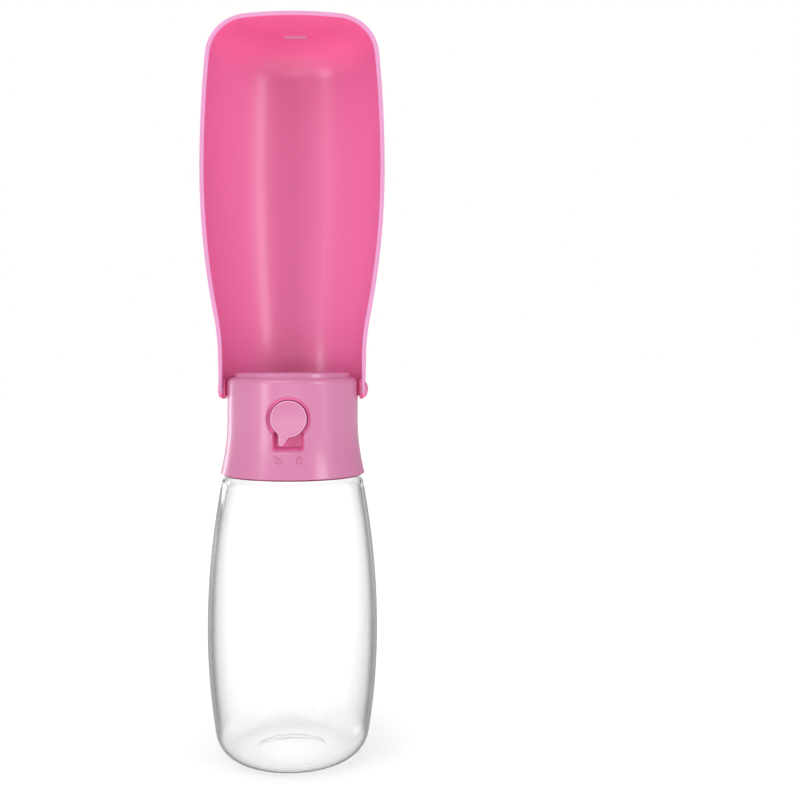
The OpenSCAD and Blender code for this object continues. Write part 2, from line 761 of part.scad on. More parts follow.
module button_spring() {
    last = len(spring_line) - 1;
    points = [for (i = [0 : last])
        let(outward = [cos(360 * i / curl_rings), sin(360 * i / curl_rings), 0])
        for (k = [0 : wire_sides - 1])
            spring_line[i] + wire_r * (cos(360 * k / wire_sides) * outward + sin(360 * k / wire_sides) * [0, 0, 1])];
    sides = [for (i = [0 : last - 1]) for (k = [0 : wire_sides - 1])
        let(a = i * wire_sides + k, b = i * wire_sides + (k + 1) % wire_sides)
        for (face = [[a, b, b + wire_sides], [a, b + wire_sides, a + wire_sides]]) face];
    ends = [[for (k = [wire_sides - 1 : -1 : 0]) k], [for (k = [0 : wire_sides - 1]) last * wire_sides + k]];
    color(steel) on_valve(spring_front) polyhedron(points, concat(sides, ends));
}

module valve_stem() {
    front = -button_face + button_t / 2;
    color(steel) difference() {
        union() {
            on_valve(front) cylinder(r = stem_r, h = stem_back - front);
            on_valve(plug_front - stem_collar_t) cylinder(r = stem_collar_r, h = stem_collar_t);
        }
        on_valve(plug_back) ring(stem_r - groove_d, stem_r + weld, clip_t + run_gap);
    }
}

module valve_plug() {
    lip = 0.6;
    section = [[stem_r + seat_gap, 0], [plug_r - lip / 2, 0], [plug_r, lip], [plug_r, plug_t * 0.6],
        [plug_r - 1.2, plug_t], [stem_r + seat_gap, plug_t]];
    color(silicone_white) on_valve(plug_front) rotate_extrude() polygon(section);
}

module plug_clip() {
    color(steel) on_valve(plug_back) clip(stem_r - groove_d + seat_gap, stem_r + 1.1);
}

module trough() {
    color(trough_pink) difference() {
        union() {
            at_hinge() {
                rotate_extrude(angle = 180) trough_section(0);
                rotate([90, 0, 0]) linear_extrude(rim_d) both_sides() trough_section(0);
                translate([0, bead_w - rim_d, 0]) rotate([90, 0, 0]) linear_extrude(bead_w)
                    both_sides() trough_section(-bead_h);
                end_rib();
                heel_tab();
            }
            for (side = [-1, 1]) {
                on_side(side) ear();
            }
        }
        for (side = [-1, 1]) {
            on_side(side) hinge_rod(boss_x - weld, through, pin_r + seat_gap);
        }
        at_hinge() heel_tab_hole();
    }
}

// Half of the trough's wall in section, its outer face grown by -grow
module trough_section(grow) {
    polygon(concat(trough_side(grow), backward(trough_side(trough_wall))));
}

module both_sides() {
    children();
    mirror([1, 0, 0]) children();
}

// The rib inside the far end that catches the bottle's base
module end_rib() {
    inner_z = t_corner_c.y + sqrt(pow(trough_corner_r - trough_wall, 2) - pow(rib_y - t_corner_c.x, 2));
    translate([-rib_l / 2, rib_y - rib_w / 2, inner_z - rib_h]) cube([rib_l, rib_w, rib_h + trough_wall / 2]);
}

// The tab below the trough's back edge that snaps on the head's peg
module heel_tab() {
    tip_r = tab_hole_r + tab_edge;
    root = 4.6;
    intersection() {
        rotate([-90, 0, 0]) linear_extrude(through) {
            translate([0, peg_drop]) circle(r = tip_r);
            polygon([[-root, heel_drop - weld], [root, heel_drop - weld], [tip_r * 0.8, peg_drop + tip_r * 0.6],
                [-tip_r * 0.8, peg_drop + tip_r * 0.6]]);
        }
        translate([0, 0, -through / 2]) ring(inner_heel_r, inner_heel_r + tab_t, through);
    }
}

module heel_tab_hole() {
    translate([0, 0, -peg_drop]) rotate([-90, 0, 0]) cylinder(r = tab_hole_r, h = through);
}

// The ear on the right side, with the boss that faces the head
module ear() {
    corner = rim_d - ear_round;
    difference() {
        union() {
            intersection() {
                translate([inner_heel_r, 0, hinge_h]) rotate([90, 0, 90]) linear_extrude(trough_wall) {
                    translate([-rim_d, ear_round - ear_drop]) square([2 * rim_d, 2 * ear_drop]);
                    translate([-corner, -ear_drop]) square([2 * corner, ear_round]);
                    for (side = [-1, 1]) {
                        translate([side * corner, ear_round - ear_drop]) circle(r = ear_round);
                    }
                }
                union() {
                    cylinder(r = heel_r, h = 2 * hinge_h);
                    translate([0, -through, 0]) cube([through, through, 2 * hinge_h]);
                }
            }
            hinge_rod(boss_x, inner_heel_r - boss_x + weld, ear_drop);
        }
        ear_chamfer();
    }
}

// Cuts the ear's lower outer edge at 45 degrees, from below the pin's head
module ear_chamfer() {
    translate([heel_r, 0, hinge_h - ear_drop + 1.3]) rotate([0, 45, 0])
        translate([0, -through / 2, -through]) cube([through, through, through]);
}

module pin() {
    dome_curve_r = (dome_r * dome_r + dome_h * dome_h) / (2 * dome_h);
    dome = concat([[0, 0]], arc([0, dome_h - dome_curve_r], dome_curve_r, 90 - asin(dome_r / dome_curve_r), 90, 6));
    color(trough_pink) difference() {
        union() {
            hinge_rod(pin_end, heel_r - pin_end + weld, pin_r);
            translate([heel_r, 0, hinge_h]) rotate([0, 90, 0]) rotate_extrude() polygon(dome);
        }
        translate([clip_x - run_gap, 0, hinge_h]) rotate([0, 90, 0])
            ring(pin_r - groove_d, pin_r + weld, clip_t + 2 * run_gap);
    }
}

module washer() {
    color(rose) translate([boss_x - run_gap - washer_t, 0, hinge_h]) rotate([0, 90, 0])
        ring(pin_r + seat_gap, washer_r, washer_t);
}

module pin_clip() {
    color(steel) translate([clip_x, 0, hinge_h]) rotate([0, 90, 0]) clip(pin_r - groove_d + seat_gap, pin_r + 1.1);
}

module left_pin() {
    on_side(-1) pin();
}

module right_pin() {
    on_side(1) pin();
}

module left_washer() {
    on_side(-1) washer();
}

module right_washer() {
    on_side(1) washer();
}

module left_clip() {
    on_side(-1) pin_clip();
}

module right_clip() {
    on_side(1) pin_clip();
}

bottle();
neck_seal();
head_shell();
top_deck();
deck_seal();
deck_screws();
valve_body();
gland_ring();
gland_bush();
valve_seat();
rear_cap();
rear_cap_seal();
guide_plate();
lock_sleeve();
button();
button_spring();
valve_stem();
valve_plug();
plug_clip();
trough();
left_pin();
right_pin();
left_washer();
right_washer();
left_clip();
right_clip();
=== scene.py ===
"""Looks of a dog travel water bottle: the pieces that show, their finishes and the studio.

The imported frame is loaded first. Each operator builds one piece, or a group of like pieces,
in metres and in the frame's own place. The hinge axis runs along X, and the button faces -Y.
"""
import math

import bmesh
import bpy
from bpy.props import BoolProperty, FloatProperty, FloatVectorProperty, PointerProperty
from mathutils import Matrix, Vector


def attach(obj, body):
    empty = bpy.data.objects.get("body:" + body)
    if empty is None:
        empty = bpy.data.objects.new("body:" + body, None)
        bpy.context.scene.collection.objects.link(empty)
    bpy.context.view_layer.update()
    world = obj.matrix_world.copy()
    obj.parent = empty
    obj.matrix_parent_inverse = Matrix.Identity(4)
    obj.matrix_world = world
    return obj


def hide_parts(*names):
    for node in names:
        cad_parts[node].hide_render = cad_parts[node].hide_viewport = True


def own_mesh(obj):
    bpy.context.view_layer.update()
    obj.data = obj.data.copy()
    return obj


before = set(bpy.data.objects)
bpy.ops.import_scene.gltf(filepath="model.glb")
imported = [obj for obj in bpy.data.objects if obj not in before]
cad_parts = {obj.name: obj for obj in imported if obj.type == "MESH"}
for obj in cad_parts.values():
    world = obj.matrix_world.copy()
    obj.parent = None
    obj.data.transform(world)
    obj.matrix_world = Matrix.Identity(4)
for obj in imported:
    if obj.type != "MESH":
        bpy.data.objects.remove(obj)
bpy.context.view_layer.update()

bl_info = {
    "name": "Dog Travel Water Bottle",
    "version": (1, 0, 0),
    "blender": (4, 5, 0),
    "location": "View3D > Sidebar > Water Bottle",
    "description": "Builds the shown pieces of a dog travel water bottle and its studio",
    "category": "Add Mesh",
}

MM = 0.001
UP = Vector((0, 0, 1))


# ---- Sizes and colours that a user would change


class BottleSizes(bpy.types.PropertyGroup):
    """Sizes of the shown pieces"""

    hinge_height: FloatProperty(name="Hinge Height", description="Height of the hinge axis above the table",
                                default=0.152, unit="LENGTH")
    bottle_radius: FloatProperty(name="Bottle Radius", description="Largest radius of the bottle",
                                 default=0.0354, unit="LENGTH")
    bottle_wall: FloatProperty(name="Bottle Wall", description="Wall thickness of the bottle",
                               default=0.0013, unit="LENGTH")
    thread_pitch: FloatProperty(name="Thread Pitch", description="Rise of the neck's thread in one turn",
                                default=0.003, unit="LENGTH")
    head_radius: FloatProperty(name="Head Radius", description="Radius of the head at its waist",
                               default=0.02725, unit="LENGTH")
    trough_wall: FloatProperty(name="Trough Wall", description="Wall thickness of the trough",
                               default=0.0016, unit="LENGTH")
    pointer_angle: FloatProperty(name="Pointer Angle", description="Turn of the button's pointer from straight down",
                                 default=math.radians(16), unit="ROTATION")


class BottleColours(bpy.types.PropertyGroup):
    """Colours of the shown pieces"""

    head: FloatVectorProperty(name="Head", description="Colour of the head's plastic", subtype="COLOR",
                              size=3, min=0, max=1, default=(0.57, 0.185, 0.345))
    trough: FloatVectorProperty(name="Trough", description="Colour of the trough's plastic", subtype="COLOR",
                                size=3, min=0, max=1, default=(0.755, 0.168, 0.38))
    # Painted glow: the far end's downward faces take this livelier colour in place of light that the trough's walls
    # bounce onto one another.
    trough_end_painted_glow: FloatVectorProperty(name="Trough End", description="Livelier colour inside the trough's far end",
                                    subtype="COLOR", size=3, min=0, max=1, default=(0.93, 0.175, 0.41))
    # Painted shade: the valve body's ring under the skirt is coloured dark maroon in place of its pink lying in the
    # shade of the gap between skirt and bottle.
    ring: FloatVectorProperty(name="Valve Body", description="Colour of the ring under the skirt",
                              subtype="COLOR", size=3, min=0, max=1, default=(0.26, 0.04, 0.10))
    # Painted highlight: the rim's front-facing faces and the catch rib take this paler colour in place of the light
    # they catch.
    rim: FloatVectorProperty(name="Trough Rim", description="Paler colour of the trough's rim and catch rib",
                             subtype="COLOR", size=3, min=0, max=1, default=(0.66, 0.28, 0.49))
    # Painted bounce light: the recess walls, the button's sides and the guide plate take this livelier, more saturated
    # pink in place of the light bounced inside the recess.
    recess: FloatVectorProperty(name="Recess", description="Deeper colour inside the button's recess",
                                subtype="COLOR", size=3, min=0, max=1, default=(0.80, 0.17, 0.40))
    # Painted highlight: the button's rounded edge takes this paler colour in place of the light it catches.
    button_edge_highlight: FloatVectorProperty(name="Button Edge", description="Paler colour of the button's rounded edge",
                                     subtype="COLOR", size=3, min=0, max=1, default=(0.82, 0.42, 0.60))
    # Painted shade: the padlock signs' lines take this dark colour in place of the shade inside sunk lines.
    sign: FloatVectorProperty(name="Signs", description="Colour inside the sunk padlock signs",
                              subtype="COLOR", size=3, min=0, max=1, default=(0.40, 0.07, 0.17))
    silicone: FloatVectorProperty(name="Silicone", description="Colour of the seals", subtype="COLOR",
                                  size=3, min=0, max=1, default=(0.80, 0.80, 0.78))


class BottleStage(bpy.types.PropertyGroup):
    """Camera and light"""

    camera_distance: FloatProperty(name="Camera Distance", description="Distance from the camera to the bottle",
                                   default=0.42, unit="LENGTH")
    camera_height: FloatProperty(name="Camera Height", description="Height of the camera above the table",
                                 default=0.1638, unit="LENGTH")
    camera_side: FloatProperty(name="Camera Side", description="Distance of the camera to the bottle's right",
                               default=0.0289, unit="LENGTH")
    white_floor: BoolProperty(name="White Floor", description="Let the floor show white to the camera",
                              default=True)


# ---- Modelling helpers


def deselect_all():
    if bpy.context.mode != "OBJECT":
        bpy.ops.object.mode_set(mode="OBJECT")
    bpy.ops.object.select_all(action="DESELECT")


def only(piece):
    """Leaves the piece alone selected and active."""
    deselect_all()
    piece.select_set(True)
    bpy.context.view_layer.objects.active = piece
    return piece


def select_points(piece, chosen):
    """In edit mode, selects the points whose place passes the test, and what lies between them."""
    mesh = bmesh.from_edit_mesh(piece.data)
    bpy.ops.mesh.select_all(action="DESELECT")
    for point in mesh.verts:
        point.select = bool(chosen(point.co))
    mesh.select_flush(True)
    bmesh.update_edit_mesh(piece.data)


def select_edges(piece, chosen):
    """In edit mode, selects the edges whose two ends and whose faces pass the test."""
    mesh = bmesh.from_edit_mesh(piece.data)
    bpy.ops.mesh.select_all(action="DESELECT")
    bpy.ops.mesh.select_mode(type="EDGE")
    mesh = bmesh.from_edit_mesh(piece.data)
    for edge in mesh.edges:
        edge.select_set(bool(chosen(edge)))
    bmesh.update_edit_mesh(piece.data)


def merge_doubles(distance=2e-6):
    bpy.ops.mesh.select_all(action="SELECT")
    bpy.ops.mesh.remove_doubles(threshold=distance)


def face_outwards():
    bpy.ops.mesh.select_all(action="SELECT")
    bpy.ops.mesh.normals_make_consistent(inside=False)


def close_pole():
    """Closes the selected ring with a pole at its centre."""
    bpy.ops.mesh.extrude_region_move()
    bpy.ops.mesh.merge(type="CENTER")


def apply_place(piece):
    only(piece)
    bpy.ops.object.transform_apply(location=True, rotation=True, scale=True)


def apply_modifiers(piece):
    only(piece)
    for modifier in list(piece.modifiers):
        bpy.ops.object.modifier_apply(modifier=modifier.name)


def turned(name, profile, segments=128, start_pole=False, end_pole=False, joined=False):
    """A shape of revolution about Z: a ring drawn out along the profile of (radius, height) in millimetres."""
    deselect_all()
    radius, height = profile[0]
    bpy.ops.mesh.primitive_circle_add(vertices=segments, radius=radius * MM, location=(0, 0, height * MM))
    piece = bpy.context.active_object
    piece.name = piece.data.name = name
    apply_place(piece)
    bpy.ops.object.mode_set(mode="EDIT")
    bpy.ops.mesh.select_mode(type="VERT")
    bpy.ops.mesh.select_all(action="SELECT")
    if start_pole:
        close_pole()
        select_points(piece, lambda co: abs(co.z - height * MM) < 1e-7 and co.xy.length > radius * MM * 0.5)
    for (r0, z0), (r1, z1) in zip(profile, profile[1:]):
        bpy.ops.mesh.extrude_region_move(TRANSFORM_OT_translate={"value": (0, 0, (z1 - z0) * MM)})
        if r1 != r0:
            bpy.ops.transform.resize(value=(r1 / r0, r1 / r0, 1), center_override=(0, 0, z1 * MM))
    if end_pole:
        close_pole()
    if joined:
        merge_doubles()
    face_outwards()
    bpy.ops.object.mode_set(mode="OBJECT")
    return piece


def wound(name, radius, wire_r, sides, degrees, rise, steps):
    """A round wire wound about Z through some degrees while it rises from Z = 0, closed at both ends."""
    deselect_all()
    bpy.ops.mesh.primitive_circle_add(vertices=sides, radius=wire_r * MM, location=(radius * MM, 0, 0),
                                      rotation=(math.pi / 2, 0, 0))
    wire = bpy.context.active_object
    wire.name = wire.data.name = name
    apply_place(wire)
    winding = wire.modifiers.new("winding", "SCREW")
    winding.angle = math.radians(degrees)
    winding.screw_offset = rise * MM
    winding.steps = winding.render_steps = steps
    winding.use_merge_vertices = False
    apply_modifiers(wire)
    bpy.ops.object.mode_set(mode="EDIT")
    bpy.ops.mesh.select_all(action="DESELECT")
    bpy.ops.mesh.select_non_manifold(extend=False)
    bpy.ops.mesh.fill_holes(sides=sides)
    face_outwards()
    bpy.ops.object.mode_set(mode="OBJECT")
    return wire


def lofted(name, rings, start_face=False, end_face=False):
    """A skin drawn out ring by ring: each ring is a list of as many places, in millimetres."""
    deselect_all()
    count = len(rings[0])
    bpy.ops.mesh.primitive_circle_add(vertices=count, radius=1)
    piece = bpy.context.active_object
    piece.name = piece.data.name = name
    bpy.ops.object.mode_set(mode="EDIT")
    bpy.ops.mesh.select_mode(type="VERT")
    bpy.ops.mesh.select_all(action="SELECT")
    mesh = bmesh.from_edit_mesh(piece.data)
    mesh.verts.ensure_lookup_table()
    for point, place in zip(mesh.verts, rings[0]):
        point.co = Vector(place) * MM
    bmesh.update_edit_mesh(piece.data)
    if start_face:
        bpy.ops.mesh.edge_face_add()
        bpy.ops.mesh.duplicate()
    order = list(range(len(mesh.verts) - count, len(mesh.verts))) if start_face else list(range(count))
    for ring in rings[1:]:
        bpy.ops.mesh.extrude_region_move()
        mesh = bmesh.from_edit_mesh(piece.data)
        mesh.verts.ensure_lookup_table()
        for point, place in zip([v for v in mesh.verts if v.select], ring):
            point.co = Vector(place) * MM
        bmesh.update_edit_mesh(piece.data)
    if end_face:
        bpy.ops.mesh.edge_face_add()
    merge_doubles()
    bpy.ops.object.mode_set(mode="OBJECT")
    return piece


def join(piece, *others):
    """Joins other meshes to the piece; those without a finish of their own get its first one."""
    deselect_all()
    for other in others:
        if piece.data.materials and not other.data.materials:
            other.data.materials.append(piece.data.materials[0])
        other.select_set(True)
    piece.select_set(True)
    bpy.context.view_layer.objects.active = piece
    bpy.ops.object.join()
    return piece


def combine(piece, other, operation):
    """Adds the other solid to the piece, or takes its space out of it."""
    only(piece)
    boolean = piece.modifiers.new(operation.lower(), "BOOLEAN")
    boolean.operation = operation
    boolean.solver = "EXACT"
    boolean.object = other
    apply_modifiers(piece)
    bpy.data.objects.remove(other)


def thicken(piece, thickness, bevel=0.0, segments=3):
    """Gives an open skin its wall, inwards, and rounds the wall's edges."""
    wall = piece.modifiers.new("wall", "SOLIDIFY")
    wall.thickness = thickness
    wall.offset = -1
    wall.use_even_offset = True
    if bevel:
        round_edges(piece, bevel, segments)
    apply_modifiers(piece)


def round_edges(piece, width, segments=3, angle=40):
    rounding = piece.modifiers.new("rounding", "BEVEL")
    rounding.width = width
    rounding.segments = segments
    rounding.limit_method = "ANGLE"
    rounding.angle_limit = math.radians(angle)
    rounding.use_clamp_overlap = True
    rounding.harden_normals = False


def smooth(piece, angle=35):
    only(piece)
    bpy.ops.object.shade_smooth_by_angle(angle=math.radians(angle))


def arc(x, z, radius, start, end, steps):
    """Points of an arc in a profile, angles in degrees."""
    turns = [math.radians(start + (end - start) * i / steps) for i in range(steps + 1)]
    return [(x + radius * math.cos(a), z + radius * math.sin(a)) for a in turns]


def set_piece(piece, body, nodes, material):
    """Dresses a finished piece and hands it to its body and nodes."""
    piece.data.materials.clear()
    piece.data.materials.append(material)
    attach(piece, body)
    if nodes:
        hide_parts(*nodes)


def dress_faces(piece, material, chosen):
    """Gives the faces that pass the test a further material."""
    piece.data.materials.append(material)
    for face in piece.data.polygons:
        if chosen(face):
            face.material_index = len(piece.data.materials) - 1


# ---- Finishes


def new_material(name):
    material = bpy.data.materials.new(name)
    material.use_nodes = True
    nodes = material.node_tree.nodes
    nodes.clear()
    shader = nodes.new("ShaderNodeBsdfPrincipled")
    output = nodes.new("ShaderNodeOutputMaterial")
    material.node_tree.links.new(shader.outputs["BSDF"], output.inputs["Surface"])
    return material, shader


def add_noise(material, scale, detail=3.0, stretch=(1, 1, 1)):
    """A noise on the object's own place, stretched along an axis where the finish has a grain."""
    nodes, links = material.node_tree.nodes, material.node_tree.links
    place = nodes.new("ShaderNodeTexCoord")
    mapping = nodes.new("ShaderNodeMapping")
    mapping.inputs["Scale"].default_value = stretch
    noise = nodes.new("ShaderNodeTexNoise")
    noise.inputs["Scale"].default_value = scale
    noise.inputs["Detail"].default_value = detail
    links.new(place.outputs["Object"], mapping.inputs["Vector"])
    links.new(mapping.outputs["Vector"], noise.inputs["Vector"])
    return noise.outputs["Fac"]


def spread(material, source, start, stop, low, high):
    """Spreads a number that runs from start to stop over low to high."""
    nodes, links = material.node_tree.nodes, material.node_tree.links
    ranged = nodes.new("ShaderNodeMapRange")
    for name, value in (("From Min", start), ("From Max", stop), ("To Min", low), ("To Max", high)):
        ranged.inputs[name].default_value = value
    links.new(source, ranged.inputs["Value"])
    return ranged.outputs["Result"]


def vary(material, source, low, high, target):
    """Sends a noise, spread from low to high, to a shader's number."""
    material.node_tree.links.new(spread(material, source, 0.3, 0.7, low, high), target)


def tint(material, source, colour, change, target):
    """Sends two close tones of a colour, mixed by a noise, to a shader's colour."""
    nodes, links = material.node_tree.nodes, material.node_tree.links
    mix = nodes.new("ShaderNodeMix")
    mix.data_type = "RGBA"
    mix.inputs["A"].default_value = (*[c * (1 - change) for c in colour], 1)
    mix.inputs["B"].default_value = (*[min(1, c * (1 + change)) for c in colour], 1)
    links.new(source, mix.inputs["Factor"])
    links.new(mix.outputs["Result"], target)


def grey_ramp(material, source, steps):
    """Turns a number into a grey by steps of (number, grey)."""
    nodes, links = material.node_tree.nodes, material.node_tree.links
    shade = nodes.new("ShaderNodeValToRGB")
    ramp = shade.color_ramp.elements
    ramp[0].position = steps[0][0]
    ramp[1].position = steps[-1][0]
    for place, grey in steps:
        step = ramp[0] if place == steps[0][0] else ramp[-1] if place == steps[-1][0] else ramp.new(place)
        step.color = (grey, grey, grey, 1)
    links.new(source, shade.inputs["Fac"])
    return shade.outputs["Color"]


def add_bump(material, shader, source, strength, distance):
    bump = material.node_tree.nodes.new("ShaderNodeBump")
    bump.inputs["Strength"].default_value = strength
    bump.inputs["Distance"].default_value = distance
    material.node_tree.links.new(source, bump.inputs["Height"])
    material.node_tree.links.new(bump.outputs["Normal"], shader.inputs["Normal"])


def moulded_plastic(name, colour, rough=0.3, coat=0.25):
    """Glossy moulded plastic: faint colour drift, a slight ripple and a smooth skin."""
    material, shader = new_material(name)
    drift = add_noise(material, 18, 2)
    ripple = add_noise(material, 220, 1)
    tint(material, drift, colour, 0.03, shader.inputs["Base Color"])
    vary(material, ripple, rough - 0.02, rough + 0.02, shader.inputs["Roughness"])
    add_bump(material, shader, ripple, 0.03, 0.0001)
    shader.inputs["Coat Weight"].default_value = coat
    shader.inputs["Coat Roughness"].default_value = 0.18
    return material


def trough_plastic(name, colour, painted_glow_colour):
    """The trough's plastic, with a painted glow on the far end's inside: faces that look down take a livelier colour in
    place of the light the walls bounce onto one another.
    """
    material = moulded_plastic(name, colour, 0.36, 0.25)
    nodes, links = material.node_tree.nodes, material.node_tree.links
    place, slope, mix = (nodes.new(kind) for kind in ("ShaderNodeTexCoord", "ShaderNodeSeparateXYZ", "ShaderNodeMix"))
    target = nodes["Principled BSDF"].inputs["Base Color"]
    mix.data_type = "RGBA"
    mix.inputs["B"].default_value = (*painted_glow_colour, 1)
    # Painted glow: the more a face looks down, the more it takes the livelier end colour.
    links.new(place.outputs["Normal"], slope.inputs["Vector"])
    links.new(spread(material, slope.outputs["Z"], -0.12, -0.7, 0, 1), mix.inputs["Factor"])
    links.new(target.links[0].from_socket, mix.inputs["A"])
    links.new(mix.outputs["Result"], target)
    return material


def clear_plastic_painted_edge_shade(name):
    """Clear bottle plastic: faint draw lines of blow moulding, and painted shade that greys its walls where they are
    seen edge on, in place of the dark surroundings they mirror there.
    """
    material, shader = new_material(name)
    nodes, links = material.node_tree.nodes, material.node_tree.links
    lines = add_noise(material, 60, 2, stretch=(1, 1, 0.08))
    vary(material, lines, 0.0, 0.03, shader.inputs["Roughness"])
    facing = nodes.new("ShaderNodeLayerWeight")
    facing.inputs["Blend"].default_value = 0.5
    # Painted shade: the walls grey towards where they are seen edge on, in place of the dark surroundings they mirror;
    # faces that look up or down and the neck stay white.
    wall = grey_ramp(material, facing.outputs["Facing"],
                     ((0.15, 1), (0.3, 0.96), (0.42, 0.89), (0.55, 0.74), (0.62, 0.64), (0.68, 0.4), (0.74, 0.18), (0.8, 0.09),
                      (1, 0.02)))
    place = nodes.new("ShaderNodeTexCoord")
    slope, spot = nodes.new("ShaderNodeSeparateXYZ"), nodes.new("ShaderNodeSeparateXYZ")
    links.new(place.outputs["Normal"], slope.inputs["Vector"])
    links.new(place.outputs["Object"], spot.inputs["Vector"])
    level = grey_ramp(material, spread(material, slope.outputs["Z"], -1, 1, 0, 1),
                      ((0.015, 1), (0.03, 0), (0.62, 0), (0.75, 1)))
    above = spread(material, spot.outputs["Z"], 0.1115, 0.1135, 0, 1)
    either = nodes.new("ShaderNodeMath")
    either.operation = "MAXIMUM"
    links.new(level, either.inputs[0])
    links.new(above, either.inputs[1])
    mix = nodes.new("ShaderNodeMix")
    mix.data_type = "RGBA"
    mix.inputs["B"].default_value = (1, 1, 1, 1)
    links.new(either.outputs["Value"], mix.inputs["Factor"])
    links.new(wall, mix.inputs["A"])
    links.new(mix.outputs["Result"], shader.inputs["Base Color"])
    links.new(spread(material, spot.outputs["Z"], 0.1125, 0.1150, 1, 0.12), shader.inputs["Alpha"])
    shader.inputs["Transmission Weight"].default_value = 1
    shader.inputs["IOR"].default_value = 1.22
    return material


def silicone(name, colour):
    """Soft matte silicone with a fine dusty grain."""
    material, shader = new_material(name)
    drift = add_noise(material, 120, 2)
    grain = add_noise(material, 2500, 2)
    tint(material, drift, colour, 0.04, shader.inputs["Base Color"])
    vary(material, grain, 0.5, 0.65, shader.inputs["Roughness"])
    add_bump(material, shader, grain, 0.1, 0.00005)
    shader.inputs["Subsurface Weight"].default_value = 0.1
    shader.inputs["Subsurface Scale"].default_value = 0.001
    return material


def drawn_steel(name, stretch=(1, 1, 1)):
    """Bright steel with fine drawing marks along the piece."""
    material, shader = new_material(name)
    marks = add_noise(material, 3000, 2, stretch=stretch)
    tint(material, marks, (0.62, 0.63, 0.65), 0.08, shader.inputs["Base Color"])
    vary(material, marks, 0.18, 0.34, shader.inputs["Roughness"])
    add_bump(material, shader, marks, 0.08, 0.00003)
    shader.inputs["Metallic"].default_value = 1
    return material


class Finishes:
    """The finishes, each made once."""

    made = {}

    @classmethod
    def get(cls, name):
        colours = bpy.context.scene.bottle_colours
        makers = {
            "head_pink": lambda n: moulded_plastic(n, tuple(colours.head), 0.34, 0.3),
            # The trough's finish carries a painted glow on its far end's inside.
            "trough_pink": lambda n: trough_plastic(n, tuple(colours.trough), tuple(colours.trough_end_painted_glow)),
            # Painted highlight: the paler rim finish.
            "rim_painted_highlight": lambda n: moulded_plastic(n, tuple(colours.rim), 0.36, 0.25),
            # Painted bounce light: the livelier recess finish.
            "recess_painted_bounce": lambda n: moulded_plastic(n, tuple(colours.recess), 0.5, 0.0),
            # Painted highlight: the paler button edge finish.
            "edge_painted_highlight": lambda n: moulded_plastic(n, tuple(colours.button_edge_highlight), 0.34, 0.3),
            # Painted shade: the dark ring finish.
            "ring_painted_shade": lambda n: moulded_plastic(n, tuple(colours.ring), 0.35, 0.15),
            # Painted shade: the dark sign finish.
            "sign_painted_shade": lambda n: moulded_plastic(n, tuple(colours.sign), 0.5, 0.0),
            "natural_white": lambda n: moulded_plastic(n, (0.8, 0.8, 0.81), 0.45, 0.0),
            # The clear finish carries painted edge shade.
            "clear": clear_plastic_painted_edge_shade,
            "white_silicone": lambda n: silicone(n, tuple(colours.silicone)),
            # Rubber washers whose crimson is partly painted bounce light of the gap at the ears.
            "rose_rubber": lambda n: silicone(n, (0.92, 0.04, 0.18)),
            "steel": drawn_steel,
            "steel_drawn_along": lambda n: drawn_steel(n, (1, 0.1, 1)),
        }
        if name not in cls.made:
            cls.made[name] = makers[name](name)
        return cls.made[name]


# ---- Profiles, in millimetres


def hinge_z():
    return bpy.context.scene.bottle_sizes.hinge_height / MM


def bottle_side(inset):
    """Side of the bottle from its base to its shoulder, drawn in by inset."""
    r = bpy.context.scene.bottle_sizes.bottle_radius / MM
    belly, low_r, high_r, corner_r, shoulder_r = 52.5, 265, 322, 11.5, 2.5
    shoulder = hinge_z() - 35.9
    corner_x = r - low_r + math.sqrt((low_r - corner_r) ** 2 - (belly - corner_r) ** 2)
    corner_a = math.degrees(math.atan2(corner_r - belly, corner_x - (r - low_r)))
    top_a = math.degrees(math.asin((shoulder - shoulder_r - belly) / (high_r - shoulder_r)))
    top_x = r - high_r + (high_r - shoulder_r) * math.cos(math.radians(top_a))
    return (arc(corner_x, corner_r, corner_r - inset, -90, corner_a, 16)
            + arc(r - low_r, belly, low_r - inset, corner_a, 0, 28)[1:]
            + arc(r - high_r, belly, high_r - inset, 0, top_a, 40)[1:]
            + arc(top_x, shoulder - shoulder_r, shoulder_r - inset, top_a, 90, 8)[1:])


def punt(inset, steps=10):
    """The hollow under the base, from near its middle to its rim, raised by inset."""
    width, height = 16, 3.6
    r = (width ** 2 + height ** 2) / (2 * height)
    rim_a = 90 - math.degrees(math.asin(width / r))
    return arc(0, height - r, r + inset, 89.2, rim_a, steps)


def shell_radius(drop):
    """Outside radius of the head at a distance below the hinge axis."""
    waist = bpy.context.scene.bottle_sizes.head_radius / MM
    flare_drop, flare_r = 12.2, 90.24
    if drop <= flare_drop:
        return waist
    return waist + flare_r - math.sqrt(flare_r ** 2 - (drop - flare_drop) ** 2)


